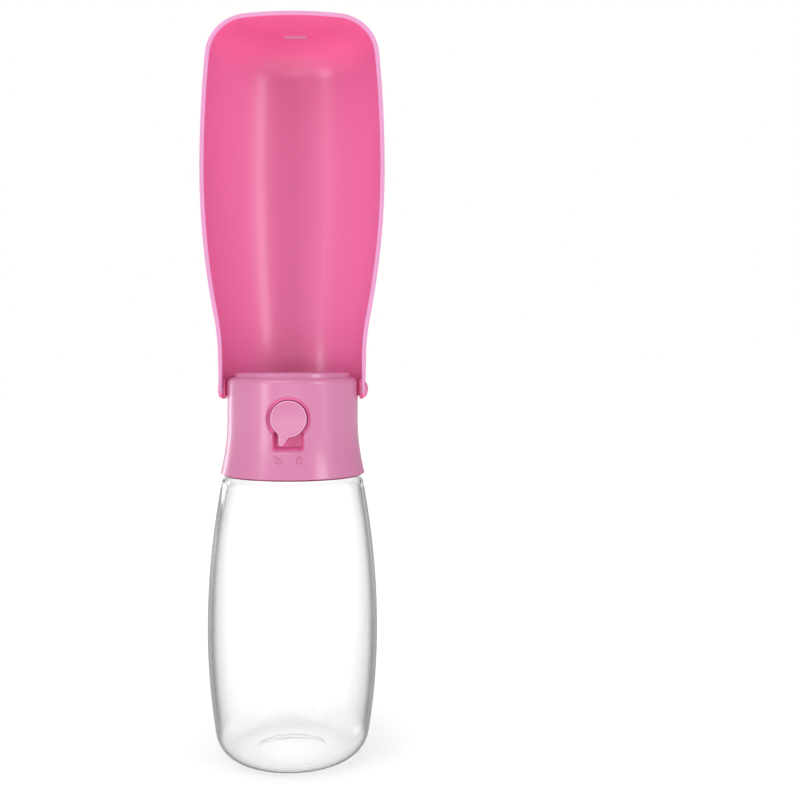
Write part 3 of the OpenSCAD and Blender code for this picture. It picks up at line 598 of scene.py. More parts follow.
def trough_side():
    """Outer side of the trough from its lower edge to the middle of its far end."""
    heel_r, waist_r, belly_r, belly = 30.5, 95, 38.18, 92
    low_r, high_r, corner_r, crown_r, length = 320, 500, 18, 180, 156.8
    low = Vector((belly_r - low_r, belly))
    high = Vector((belly_r - high_r, belly))
    across = heel_r + waist_r - low.x
    along = math.sqrt((waist_r + low_r) ** 2 - across ** 2)
    waist = Vector((heel_r + waist_r, belly - along))
    waist_a = math.degrees(math.atan2(along, across))
    crown = Vector((0, length - crown_r))
    span = crown - high
    d, p, q = span.length, high_r - corner_r, crown_r - corner_r
    reach = (p * p - q * q + d * d) / (2 * d)
    unit = span / d
    corner = high + unit * reach + Vector((-unit.y, unit.x)) * math.sqrt(p * p - reach * reach)
    if corner.x < 0:
        corner = high + unit * reach - Vector((-unit.y, unit.x)) * math.sqrt(p * p - reach * reach)
    corner_a = math.degrees(math.atan2(corner.y - high.y, corner.x - high.x))
    crown_a = math.degrees(math.atan2(corner.y - crown.y, corner.x - crown.x))
    return ([(heel_r, -4.1), (heel_r, 0.6), (heel_r, 5)]
            + arc(waist.x, waist.y, waist_r, 180, 180 - waist_a, 16)
            + arc(low.x, low.y, low_r, -waist_a, 0, 28)[1:]
            + arc(high.x, high.y, high_r, 0, corner_a, 20)[1:]
            + arc(corner.x, corner.y, corner_r, corner_a, crown_a, 18)[1:]
            + arc(crown.x, crown.y, crown_r, crown_a, 90, 8)[1:])


def drop_outline(inset, count=96):
    """The button's outline about its centre: a disc with a pointer along -Z, rounded at every turn."""
    disc, tip, reach, fillet, flank = 7.2, 1.0, 10.2, 1.3, math.radians(17)
    where = flank + math.acos((tip + fillet + reach * math.sin(flank)) / (disc + fillet))
    side = Vector(((disc + fillet) * math.cos(where), -(disc + fillet) * math.sin(where)))
    turn = math.degrees(where)
    flank_d = math.degrees(flank)
    half = (arc(0, 0, disc - inset, 90, -turn, 40)
            + arc(side.x, side.y, fillet + inset, 180 - turn, 180 - flank_d, 8)
            + arc(0, -reach, tip - inset, -flank_d, -90, 8))
    return half + [(-x, z) for x, z in reversed(half[1:-1])]


def recess_outline(grow, count):
    """The recess's outline about the button's centre: a disc with a notch below, grown, evenly stepped."""
    disc, half_w, low, corner = 8.7 + grow, 6.2 + grow, 12.6 + grow, max(0.5, 1.2 + grow)
    start = math.degrees(math.asin(half_w / disc))
    right = (arc(0, 0, disc, 90, start - 90, 60)
             + arc(half_w - corner, corner - low, corner, 0, -90, 12)
             + [(0, -low)])
    steps = [0.0]
    for (x0, z0), (x1, z1) in zip(right, right[1:]):
        steps.append(steps[-1] + math.hypot(x1 - x0, z1 - z0))
    places = []
    for i in range(count // 2 + 1):
        target = steps[-1] * i / (count // 2)
        k = max(j for j, s in enumerate(steps) if s <= target + 1e-9)
        if k == len(right) - 1:
            places.append(right[-1])
            continue
        t = (target - steps[k]) / (steps[k + 1] - steps[k])
        places.append(tuple(a + (b - a) * t for a, b in zip(right[k], right[k + 1])))
    return places + [(-x, z) for x, z in reversed(places[1:-1])]


# ---- Pieces


class AddBottle(bpy.types.Operator):
    """Build the clear bottle with its hollow base and its threaded neck"""

    bl_idname = "water_bottle.add_bottle"
    bl_label = "Add Bottle"

    def execute(self, context):
        sizes = context.scene.bottle_sizes
        wall = sizes.bottle_wall / MM
        shoulder = hinge_z() - 35.9
        neck_r, neck_wall, neck_h = 22.6, 1.8, 8.3
        lip = 0.5
        neck = ([(neck_r + 0.6, shoulder), (neck_r + 0.15, shoulder + 0.15), (neck_r, shoulder + 0.6)]
                + arc(neck_r - lip, shoulder + neck_h - lip, lip, 0, 90, 4)
                + arc(neck_r - neck_wall + lip, shoulder + neck_h - lip, lip, 90, 180, 4)
                + [(neck_r - neck_wall, shoulder - wall)])
        profile = (punt(0) + bottle_side(0.006) + neck + list(reversed(bottle_side(wall)))
                   + list(reversed(punt(wall))))
        bottle = turned("clear_bottle", profile, 160, start_pole=True, end_pole=True)
        join(bottle, self.thread(shoulder, neck_r, sizes.thread_pitch / MM))
        smooth(bottle, 50)
        # The bottle's clear finish greys its walls edge on as painted shade.
        set_piece(bottle, "bottle", ["bottle"], Finishes.get("clear"))
        return {"FINISHED"}

    def thread(self, shoulder, neck_r, pitch):
        """One ridge that winds round the neck and runs out at both ends."""
        ridge = wound("neck_thread", neck_r - 0.2, 0.55, 8, 500, pitch * 500 / 360, 130)
        ridge.location = Vector((0, 0, shoulder + 1.5)) * MM
        apply_place(ridge)
        return ridge


class AddHeadShell(bpy.types.Operator):
    """Build the head's shell with its button recess, lanyard eye and catch peg"""

    bl_idname = "water_bottle.add_head_shell"
    bl_label = "Add Head Shell"

    segments = 240
    columns = 24
    row = 0.75
    first_row = 0.8
    rows = 38
    drop = 34.7
    button_drop = 11

    def on_shell(self, x, drop, sink=0.0):
        """The place on the shell's front in front of x, sunk along the view."""
        r = shell_radius(drop)
        return (x, -math.sqrt(r * r - x * x) + sink, hinge_z() - drop)

    def execute(self, context):
        shell = self.skin()
        join(shell, self.recess())
        bpy.ops.object.mode_set(mode="EDIT")
        merge_doubles(1e-5)
        face_outwards()
        bpy.ops.object.mode_set(mode="OBJECT")
        set_piece(shell, "head", ["head_shell"], Finishes.get("head_pink"))
        # Painted bounce light: faces well inside the recess take the livelier recess finish.
        dress_faces(shell, Finishes.get("recess_painted_bounce"), self.in_recess)
        thicken(shell, 1.6 * MM, 0.3 * MM, 3)
        join(shell, self.eye(), self.peg())
        smooth(shell, 40)
        return {"FINISHED"}

    def in_recess(self, face):
        """Whether a face lies well within the shell's round outside."""
        x, y, z = face.center / MM
        return math.hypot(x, y) < shell_radius(hinge_z() - z) - 0.9

    def skin(self):
        """The revolved outside, without the patch that holds the recess."""
        drops = [0.0, 0.34] + [self.first_row + self.row * i for i in range(self.rows + 1)]
        while drops[-1] + self.row < self.drop:
            drops.append(drops[-1] + self.row)
        drops.append(self.drop)
        skin = turned("head_skin", [(shell_radius(d), hinge_z() - d) for d in drops], self.segments)
        bpy.ops.object.mode_set(mode="EDIT")
        bpy.ops.mesh.select_mode(type="FACE")
        mesh = bmesh.from_edit_mesh(skin.data)
        bpy.ops.mesh.select_all(action="DESELECT")
        half = self.columns * 2 * math.pi / self.segments
        low = (hinge_z() - self.first_row - self.row * self.rows) * MM
        high = (hinge_z() - self.first_row) * MM
        for face in mesh.faces:
            middle = face.calc_center_median()
            inside = abs(math.atan2(middle.x, -middle.y)) < half and low < middle.z < high
            face.select_set(inside)
        bmesh.update_edit_mesh(skin.data)
        bpy.ops.mesh.delete(type="FACE")
        bpy.ops.object.mode_set(mode="OBJECT")
        return skin

    def frame_ring(self):
        """The patch's border on the skin's own points, from the top's middle clockwise, as angle and drop."""
        step = 2 * math.pi / self.segments
        last = self.first_row + self.row * self.rows
        right = ([(step * i, self.first_row) for i in range(self.columns)]
                 + [(step * self.columns, self.first_row + self.row * i) for i in range(self.rows)]
                 + [(step * (self.columns - i), last) for i in range(self.columns + 1)])
        return right + [(-a, d) for a, d in reversed(right[1:-1])]

    def recess(self):
        """The patch round the recess: a bore, a ledge round the disc, a sloping notch and the skin beyond."""
        border = self.frame_ring()
        count = len(border)
        edge = recess_outline(0, count)
        wide = recess_outline(1, count)
        bore = recess_outline(-1.2, count)
        floor, ledge = -22.02, 1.3
        outwards = [(wx - x, wz - z) for (x, z), (wx, wz) in zip(edge, wide)]

        def soft(x, z):
            """Radius of the rounded edge: small on the disc, wide at the notch."""
            low = min(1.0, max(0.0, (-z - 6.5) / 4.5))
            return 0.45 + 0.35 * low + 0.8 * min(1.0, max(0.0, (-z - 11.2) / 1.4))

        def inside(out, depth, on_ledge):
            """A ring within the recess: on the ledge round the disc, and on the slope in the notch."""
            places = []
            for (x, z), (bx, bz) in zip(edge, bore):
                top = self.on_shell(x, self.button_drop - z)[1]
                round_disc = min(1.0, max(0.0, (math.degrees(math.atan2(abs(x), -z)) - 46) / 5))
                t = out + (on_ledge[0] - out) * round_disc
                slope = floor + (top + soft(x, z) - floor) * depth
                y = slope + (top + ledge + on_ledge[1] - slope) * round_disc
                places.append((bx + (x - bx) * t, y, hinge_z() - self.button_drop + bz + (z - bz) * t))
            return places

        def ring(turn):
            """A ring of the rounded edge: 0 where it leaves the wall, 90 on the shell."""
            places = []
            for (x, z), (ox, oz) in zip(edge, outwards):
                r = soft(x, z)
                out = r * (1 - math.cos(math.radians(turn)))
                sink = r * (1 - math.sin(math.radians(turn)))
                places.append(self.on_shell(x + ox * out, self.button_drop - (z + oz * out), sink))
            return places

        rings = [[(x, floor, hinge_z() - self.button_drop + z) for x, z in bore],
                 inside(0.3, 0.3, (0.0, 0.2)), inside(0.5, 0.5, (0.15, 0.0)), inside(0.7, 0.7, (0.75, 0.0)),
                 inside(0.85, 0.85, (0.95, -0.1)), inside(0.95, 0.95, (1.0, -0.35))]
        for turn in (0, 18, 36, 54, 72, 90):
            rings.append(ring(turn))
        start = []
        for (x, z), (ox, oz) in zip(edge, outwards):
            r = soft(x, z)
            px, drop = x + ox * r, self.button_drop - (z + oz * r)
            start.append((math.asin(px / shell_radius(drop)), drop))
        for t in (0.12, 0.28, 0.46, 0.64, 0.82, 1.0):
            places = []
            for (a, d), (ba, bd) in zip(start, border):
                angle, drop = a + (ba - a) * t, d + (bd - d) * t
                r = shell_radius(drop)
                places.append((r * math.sin(angle), -r * math.cos(angle), hinge_z() - drop))
            rings.append(places)
        return lofted("recess_patch", rings)

    def eye(self):
        """The loop for a lanyard: a ring with a flattened section, fused to the shell by a root."""
        deselect_all()
        place = Vector((0, 28.1, hinge_z() - 11.5)) * MM
        bpy.ops.mesh.primitive_torus_add(major_segments=56, minor_segments=20, major_radius=2.18 * MM,
                                         minor_radius=0.92 * MM, location=place, rotation=(0, math.pi / 2, 0))
        eye = bpy.context.active_object
        apply_place(eye)
        bpy.ops.object.mode_set(mode="EDIT")
        bpy.ops.mesh.select_all(action="SELECT")
        bpy.ops.transform.resize(value=(1.18, 1, 1), center_override=place)
        select_points(eye, lambda co: co.y < 26.4 * MM)
        bpy.ops.transform.resize(value=(1.25, 1, 1.1), center_override=place)
        bpy.ops.object.mode_set(mode="OBJECT")
        return eye

    def peg(self):
        """The round-ended peg that the trough's tab snaps on."""
        r, out = 1.15, 1.5
        profile = ([(r + 0.35, -0.4), (r + 0.12, 0.05), (r, 0.35)]
                   + arc(0, out - r, r, 0, 84, 8))
        peg = turned("catch_peg", profile, 32, start_pole=True, end_pole=True)
        peg.rotation_euler = (-math.pi / 2, 0, 0)
        peg.location = Vector((0, 27.25, hinge_z() - 4.8)) * MM
        apply_place(peg)
        return peg


class AddSigns(bpy.types.Operator):
    """Build the two small padlock signs below the recess, open on the left and closed on the right"""

    bl_idname = "water_bottle.add_signs"
    bl_label = "Add Signs"

    def execute(self, context):
        strokes = []
        for opened in (True, False):
            strokes += self.padlock(opened)
        signs = join(strokes[0], *strokes[1:])
        signs.name = signs.data.name = "padlock_signs"
        smooth(signs, 40)
        # The strokes take the dark sign finish as painted shade of sunk lines.
        set_piece(signs, "head", [], Finishes.get("sign_painted_shade"))
        return {"FINISHED"}

    def stroke(self, path, closed, width=0.27):
        """A thin line laid on the shell along a path of (x, drop) points."""
        count = len(path)
        rings = []
        for i, (x, d) in enumerate(path):
            before = path[i - 1] if i or closed else path[i]
            after = path[(i + 1) % count] if i < count - 1 or closed else path[i]
            along = Vector((after[0] - before[0], after[1] - before[1])).normalized()
            side = Vector((-along.y, along.x)) * width / 2
            ring = []
            for s, out in ((-1, -0.05), (-1, 0.02), (1, 0.02), (1, -0.05)):
                px, pd = x + side.x * s, d + side.y * s
                r = shell_radius(pd) + out
                ring.append((px, -math.sqrt(r * r - px * px), hinge_z() - pd))
            rings.append(ring)
        if closed:
            rings.append(rings[0])
        piece = lofted("stroke", rings, False, False)
        bpy.ops.object.mode_set(mode="EDIT")
        if not closed:
            bpy.ops.mesh.select_all(action="DESELECT")
            bpy.ops.mesh.select_non_manifold(extend=False)
            bpy.ops.mesh.fill_holes(sides=4)
        face_outwards()
        bpy.ops.object.mode_set(mode="OBJECT")
        return piece

    def padlock(self, opened):
        """Body, shackle and keyhole of one padlock, in (x, drop)."""
        left, right, top, low = (-4.6, -2.4, 26.6, 28.5) if opened else (3.3, 5.4, 26.6, 28.5)
        corner = 0.25
        body = []
        for cx, cy, a in ((right - corner, top + corner, -90), (right - corner, low - corner, 0),
                          (left + corner, low - corner, 90), (left + corner, top + corner, 180)):
            body += arc(cx, cy, corner, a, a + 90, 3)
        strokes = [self.stroke(body, True)]
        middle, r = (left + right) / 2, 0.62
        shackle_x = left + 0.3 - r if opened else middle
        bow = arc(shackle_x, top - 0.35, r, 180, 360, 10)
        first = [(bow[0][0], top - (0.15 if opened else 0.05))]
        strokes.append(self.stroke(first + bow + [(bow[-1][0], top - 0.05)], False))
        strokes.append(self.stroke([(middle, top + 0.7), (middle, low - 0.7)], False))
        return strokes


class AddTopDeck(bpy.types.Operator):
    """Build the top deck with its round shoulder, dished disc and water outlet"""

    bl_idname = "water_bottle.add_top_deck"
    bl_label = "Add Top Deck"

    def execute(self, context):
        z = hinge_z()
        top, dish, foot = z + 6.9, z + 6.1, 0.25
        profile = ([(0.4, z + 4.3), (22.6, z + 4.3), (22.6, z + 3.1), (23.9, z + 3.1), (23.9, z - 2), (25.3, z - 2),
                    (25.3, z), (26.95, z), (27.25, z - 0.3), (27.25, z + 1)]
                   + arc(24.95, z + 2.6, 2.3, 0, 90, 12)
                   + arc(24.4 + foot, z + 4.9 + foot, foot, 270, 180, 5)
                   + arc(24.1 - 0.6, top - 0.6, 0.6, 0, 90, 6)
                   + arc(22.7, top - 0.3, 0.3, 90, 150, 3)
                   + arc(21.9, dish + 0.3, 0.3, -30, -90, 3)
                   + [(21.0, dish), (12, dish), (0.4, dish)])
        deck = turned("top_deck_shell", profile, 160, start_pole=True, end_pole=True)
        combine(deck, self.slot(z), "DIFFERENCE")
        bpy.ops.object.mode_set(mode="EDIT")

        def on_rim(edge):
            a, b = (v.co for v in edge.verts)
            level = all(abs(p.z - dish * MM) < 1e-6 for p in (a, b))
            near = all(abs(p.x) < 4.5 * MM and abs(p.y - 4.8 * MM) < 2 * MM for p in (a, b))
            falls = any(abs(f.normal.z) < 0.3 for f in edge.link_faces)
            return level and near and falls

        select_edges(deck, on_rim)
        bpy.ops.mesh.bevel(offset=0.35 * MM, segments=4, clamp_overlap=False)
        bpy.ops.object.mode_set(mode="OBJECT")
        join(deck, *self.pillars(z))
        smooth(deck, 40)
        set_piece(deck, "head", ["top_deck"], Finishes.get("head_pink"))
        return {"FINISHED"}

    def slot(self, z):
        """The space of the water outlet."""
        straight, r = 2.5, 1.7
        outline = (arc(straight, 4.8, r, -90, 90, 14) + arc(-straight, 4.8, r, 90, 270, 14))
        cutter = lofted("outlet", [[(x, y, h) for x, y in outline] for h in (z + 2, z + 9)], True, True)
        bpy.ops.object.mode_set(mode="EDIT")
        face_outwards()
        bpy.ops.object.mode_set(mode="OBJECT")
        return cutter

    def pillars(self, z):
        """The four screw pillars under the deck."""
        made = []
        for x, y in ((15.2, -8), (12, 12), (-15.2, -8), (-12, 12)):
            pillar = turned("pillar", [(1.15, z - 4), (1.15, z - 16.1), (1.4, z - 16.4), (2.5, z - 16.4),
                                       (2.8, z - 16.1), (2.8, z + 4.6), (1.15, z + 4.6), (1.15, z - 4)], 32, joined=True)
            pillar.location = (x * MM, y * MM, 0)
            apply_place(pillar)
            made.append(pillar)
        return made


class AddButton(bpy.types.Operator):
    """Build the drop-shaped button"""

    bl_idname = "water_bottle.add_button"
    bl_label = "Add Button"

    def execute(self, context):
        face_y, back_y, fillet = -26.9, -24.7, 0.5
        centre = Vector((0, 0, hinge_z() - 11))
        turn = Matrix.Rotation(context.scene.bottle_sizes.pointer_angle, 3, "Y")

        def ring(inset, y):
            return [turn @ Vector((x, 0, z)) + Vector((0, y, 0)) + centre for x, z in drop_outline(inset)]

        rings = [ring(0.25, back_y), ring(0.0, back_y - 0.25)]
        for i in range(6):
            a = math.radians(90 * i / 5)
            rings.append(ring(fillet * (1 - math.cos(a)), face_y + fillet * (1 - math.sin(a))))
        button = lofted("button_cap", rings, False, False)
        bpy.ops.object.mode_set(mode="EDIT")
        bpy.ops.mesh.select_all(action="DESELECT")
        bpy.ops.mesh.select_non_manifold(extend=False)
        bpy.ops.mesh.edge_face_add()
        face_outwards()
        bpy.ops.object.mode_set(mode="OBJECT")
        boss = turned("boss", [(1.52, 0), (1.52, 3.9), (2.3, 3.9), (2.5, 3.7), (2.5, 0), (1.52, 0)], 40, joined=True)
        boss.rotation_euler = (-math.pi / 2, 0, 0)
        boss.location = Vector((0, back_y - 0.3, centre.z)) * MM
        apply_place(boss)
        join(button, boss)
        smooth(button, 40)
        set_piece(button, "button", ["button"], Finishes.get("head_pink"))
        # Painted highlight: the faces of the button's rounded edge take the paler edge finish.
        dress_faces(button, Finishes.get("edge_painted_highlight"),
                    lambda face: face.center.y < (face_y + fillet) * MM and 0.12 < -face.normal.y < 0.93)
        # Painted bounce light: the button's sides, in the gap round it, take the livelier recess finish.
        dress_faces(button, Finishes.get("recess_painted_bounce"), lambda face: abs(face.normal.y) <= 0.12)
        return {"FINISHED"}


class AddSpring(bpy.types.Operator):
    """Build the button's spring, a steel coil behind the button"""

    bl_idname = "water_bottle.add_spring"
    bl_label = "Add Button Spring"

    def execute(self, context):
        front_y, sleeve_floor_y, press, wire_r, rise = -24.6125, -18.05, 2.4, 0.28, 5.965
        axis_z = hinge_z() - 11
        spring = wound("button_coil", 3.75, wire_r, 12, 5.5 * 360, rise, 264)
        spring.rotation_euler = (-math.pi / 2, 0, 0)
        spring.location = Vector((0, front_y + wire_r, axis_z)) * MM
        apply_place(spring)
        smooth(spring, 50)
        set_piece(spring, "lock", ["button_spring"], Finishes.get("steel"))
        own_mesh(spring)
        return {"FINISHED"}


class AddTrough(bpy.types.Operator):
    """Build the drinking trough with its rim, ears, end rib and snap tab"""

    bl_idname = "water_bottle.add_trough"
    bl_label = "Add Trough"

    rim = 5.7
    fronts = (1.7, 2.7, 3.7, 3.95, 4.05, 4.5, 5.0, 5.4, 5.7)
    steps = 90

    def execute(self, context):
        wall = context.scene.bottle_sizes.trough_wall
        trough = self.skin()
        self.shape_lower_edge(trough)
        thicken(trough, wall, 0.42 * MM, 4)
        self.raise_bead(trough)
        for boss in self.bosses(wall / MM):
            combine(trough, boss, "UNION")
        for wedge in self.ear_wedges():
            combine(trough, wedge, "DIFFERENCE")
        set_piece(trough, "trough", ["trough"], Finishes.get("trough_pink"))
        # Painted highlight: front-facing faces along the rim take the paler rim finish.
        dress_faces(trough, Finishes.get("rim_painted_highlight"),
                    lambda face: face.normal.y < -0.8 and face.center.y < -5.3 * MM)
        rib = self.rib()
        # The catch rib takes the paler rim finish too, as a painted highlight.
        rib.data.materials.append(Finishes.get("rim_painted_highlight"))
        join(trough, rib, self.tab(wall / MM))
        smooth(trough, 40)
        return {"FINISHED"}

    def skin(self):
        """The side profile swung half round, then drawn forward to the rim."""
        z = hinge_z()
        profile = [(x, z + h) for x, h in trough_side()]
        deselect_all()
        x, h = profile[0]
        bpy.ops.mesh.primitive_plane_add(size=MM, location=(x * MM, 0, h * MM))
        skin = bpy.context.active_object
        skin.name = skin.data.name = "trough_shell"
        apply_place(skin)
        bpy.ops.object.mode_set(mode="EDIT")
        bpy.ops.mesh.select_mode(type="VERT")
        bpy.ops.mesh.select_all(action="SELECT")
        bpy.ops.mesh.merge(type="CENTER")
        for (x0, h0), (x1, h1) in zip(profile, profile[1:]):
            bpy.ops.mesh.extrude_region_move(
                TRANSFORM_OT_translate={"value": ((x1 - x0) * MM, 0, (h1 - h0) * MM)})
        bpy.ops.mesh.select_all(action="SELECT")
        bpy.ops.mesh.spin(steps=self.steps, angle=math.pi, center=(0, 0, 0), axis=(0, 0, -1))
        merge_doubles(1e-6)
        select_points(skin, lambda co: abs(co.y) < 1e-6)
        before = 0.0
        for front in self.fronts:
            bpy.ops.mesh.extrude_region_move(TRANSFORM_OT_translate={"value": (0, (before - front) * MM, 0)})
            before = front
        merge_doubles(1e-6)
        face_outwards()
        bpy.ops.object.mode_set(mode="OBJECT")
        return skin

    def shape_lower_edge(self, trough):
        """Lifts the back of the lower edge, and rounds the ears' front and back corners."""
        ear, heel, r = 4.1, 3.2, 4.0
        low = (hinge_z() - ear) * MM
        bpy.ops.object.mode_set(mode="EDIT")
        mesh = bmesh.from_edit_mesh(trough.data)
        edge = sorted({round(p.co.y / MM, 3) for p in mesh.verts if abs(p.co.z - low) < 1e-6})
        for y in edge:
            straight = self.rim - r
            if y < -straight:
                lift = r - math.sqrt(max(0.0, r * r - (-y - straight) ** 2))
            elif y > straight:
                lift = min(ear - heel, r - math.sqrt(max(0.0, r * r - min(r, y - straight) ** 2)))
            else:
                continue
            select_points(trough, lambda co: abs(co.z - low) < 1e-6 and abs(co.y / MM - y) < 2e-3)
            bpy.ops.transform.translate(value=(0, 0, lift * MM))
        bpy.ops.object.mode_set(mode="OBJECT")

    def bosses(self, wall):
        """The round inner faces of the ears."""
        made = []
        heel, inner, r = 30.5, 27.95, 4.1
        depth = heel - wall - inner
        for side in (-1, 1):
            boss = turned("boss", [(1.65, -depth - 0.4), (1.65, -0.2), (1.85, 0), (r - 0.3, 0)]
                          + arc(r - 0.3, -0.3, 0.3, 90, 0, 3) + [(r, -depth - 0.4), (1.65, -depth - 0.4)],
                          64, joined=True)
            boss.rotation_euler = (0, -side * math.pi / 2, 0)
            boss.location = Vector((side * inner, 0, hinge_z())) * MM
            apply_place(boss)
            made.append(boss)
        return made

    def raise_bead(self, trough):
        """Draws the outer face out along the rim, above the ears."""
        bead, front, middle = 0.25, -4.0, 92
        centre = Vector((0, 0, (hinge_z() + middle) * MM))

        def on_outer_rim(co, normal):
            across = Vector((co.x, 0, max(0.0, co.z - (hinge_z() + 130) * MM)))
            return co.y < front * MM and co.z > (hinge_z() + 5.5) * MM and normal.dot(across.normalized()) > 0.02

        bpy.ops.object.mode_set(mode="EDIT")
        mesh = bmesh.from_edit_mesh(trough.data)
        bpy.ops.mesh.select_mode(type="VERT")
        bpy.ops.mesh.select_all(action="DESELECT")
        for point in mesh.verts:
            point.select = on_outer_rim(point.co, point.normal)
        mesh.select_flush(True)
        bmesh.update_edit_mesh(trough.data)
        bpy.ops.transform.resize(value=(1 + bead / 38.2, 1, 1 + bead / 64.8), center_override=centre)
        bpy.ops.object.mode_set(mode="OBJECT")

    def ear_wedges(self):
        """The two spaces that cut the ears' lower outer edges at a slant."""
        made = []
        size = 12
        for side in (-1, 1):
            corner = Vector((side * 30.5, 0, hinge_z() - 2.8))
            outwards = Vector((side, 0, -1)).normalized()
            deselect_all()
            bpy.ops.mesh.primitive_cube_add(size=size * MM, location=(corner + outwards * size / 2) * MM,
                                            rotation=(0, math.pi / 4, 0))
            wedge = bpy.context.active_object
            apply_place(wedge)
            made.append(wedge)
        return made

    def rib(self):
        """The small catch rib inside the far end."""
        deselect_all()
        bpy.ops.mesh.primitive_cube_add(size=MM, location=Vector((0, 19.2, hinge_z() + 154.3)) * MM)
        rib = bpy.context.active_object
        bpy.ops.transform.resize(value=(10.2, 1.2, 2))
        apply_place(rib)
        round_edges(rib, 0.35 * MM, 4)
        apply_modifiers(rib)
        return rib

    def tab(self, wall):
        """The tab under the back edge, with the hole that snaps on the peg."""
        z, r, hole, tip = hinge_z(), 28.9, 1.35, 2.15
        peg_z, root, top = -4.8, 4.6, -2.9
        hole_ring = arc(0, peg_z, hole, 90, 90 - 360, 48)[:-1]
        rim = arc(0, peg_z, hole + 0.15, 90, 90 - 360, 48)[:-1]
        outline = []
        for x, h in arc(0, peg_z, 1.0, 90, 90 - 360, 48)[:-1]:
            dx, dh = x, h - peg_z
            reach = tip
            if dh > 0.2:
                reach = min((top - peg_z) / dh, root / max(1e-6, abs(dx)) * 1.0)
                slant = root * 1.02 - abs(dx) / max(1e-6, dh) * 0
                reach = min(reach, slant if slant > 0 else reach)
            outline.append((dx * max(tip, reach), peg_z + dh * max(tip, reach)))

        def on(points, y):
            return [(x, math.sqrt((r + y) ** 2 - x * x), z + h) for x, h in points]

        rings = [on(hole_ring, 0.15), on(rim, 0.0), on(outline, 0.0), on(outline, 1.3), on(rim, 1.3),
                 on(hole_ring, 1.15), on(hole_ring, 0.15)]
        tab = lofted("tab", rings)
        bpy.ops.object.mode_set(mode="EDIT")
        face_outwards()
        bpy.ops.object.mode_set(mode="OBJECT")
        return tab


class AddPins(bpy.types.Operator):
    """Build the two hinge pins with their domed heads"""

    bl_idname = "water_bottle.add_pins"
    bl_label = "Add Hinge Pins"

    def execute(self, context):
        for side, name in ((-1, "left"), (1, "right")):
            dome_r, dome_h, edge = 3.2, 1.1, 0.25
            sphere = (dome_r ** 2 + dome_h ** 2) / (2 * dome_h)
            start = 90 - math.degrees(math.asin(dome_r / sphere))
            profile = ([(1.2, -11.6 + 1.4), (1.6, -9.8), (1.6, -9.1), (1.15, -9.1), (1.15, -8.4), (1.6, -8.4), (1.6, 0)]
                       + [(dome_r - edge, 0), (dome_r, edge * 0.6)]
                       + arc(0, dome_h - sphere, sphere, start + 6, 89, 12))
            pin = turned(name + "_hinge_pin", profile, 64, start_pole=True, end_pole=True)
            pin.rotation_euler = (0, side * math.pi / 2, 0)
            pin.location = Vector((side * 30.5, 0, hinge_z())) * MM
            apply_place(pin)
            smooth(pin, 40)
            set_piece(pin, "trough", [name + "_pin"], Finishes.get("trough_pink"))
        return {"FINISHED"}


class DressFrame(bpy.types.Operator):
    """Give every piece that stays as it is in the frame its own finish"""

    bl_idname = "water_bottle.dress_frame"
    bl_label = "Dress Frame Pieces"

    finishes = {
        # guide_plate: the recess finish as painted bounce light.
        # valve_body: the dark ring finish as painted shade.
        "valve_body": "ring_painted_shade", "guide_plate": "recess_painted_bounce", "neck_seal": "white_silicone",
        "deck_seal": "white_silicone", "gland_ring": "white_silicone", "valve_seat": "white_silicone",
        "rear_cap_seal": "white_silicone", "valve_plug": "white_silicone", "gland_bush": "natural_white",
        "rear_cap": "natural_white", "lock_sleeve": "natural_white", "deck_screws": "steel",
        "plug_clip": "steel", "left_clip": "steel", "right_clip": "steel",
        # The washers' crimson rubber is partly painted bounce light of the gap at the ears.
        "valve_stem": "steel_drawn_along", "left_washer": "rose_rubber", "right_washer": "rose_rubber",
    }

    def execute(self, context):
        for node, finish in self.finishes.items():
            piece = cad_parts[node]
            piece.data.materials.clear()
            piece.data.materials.append(Finishes.get(finish))
        return {"FINISHED"}


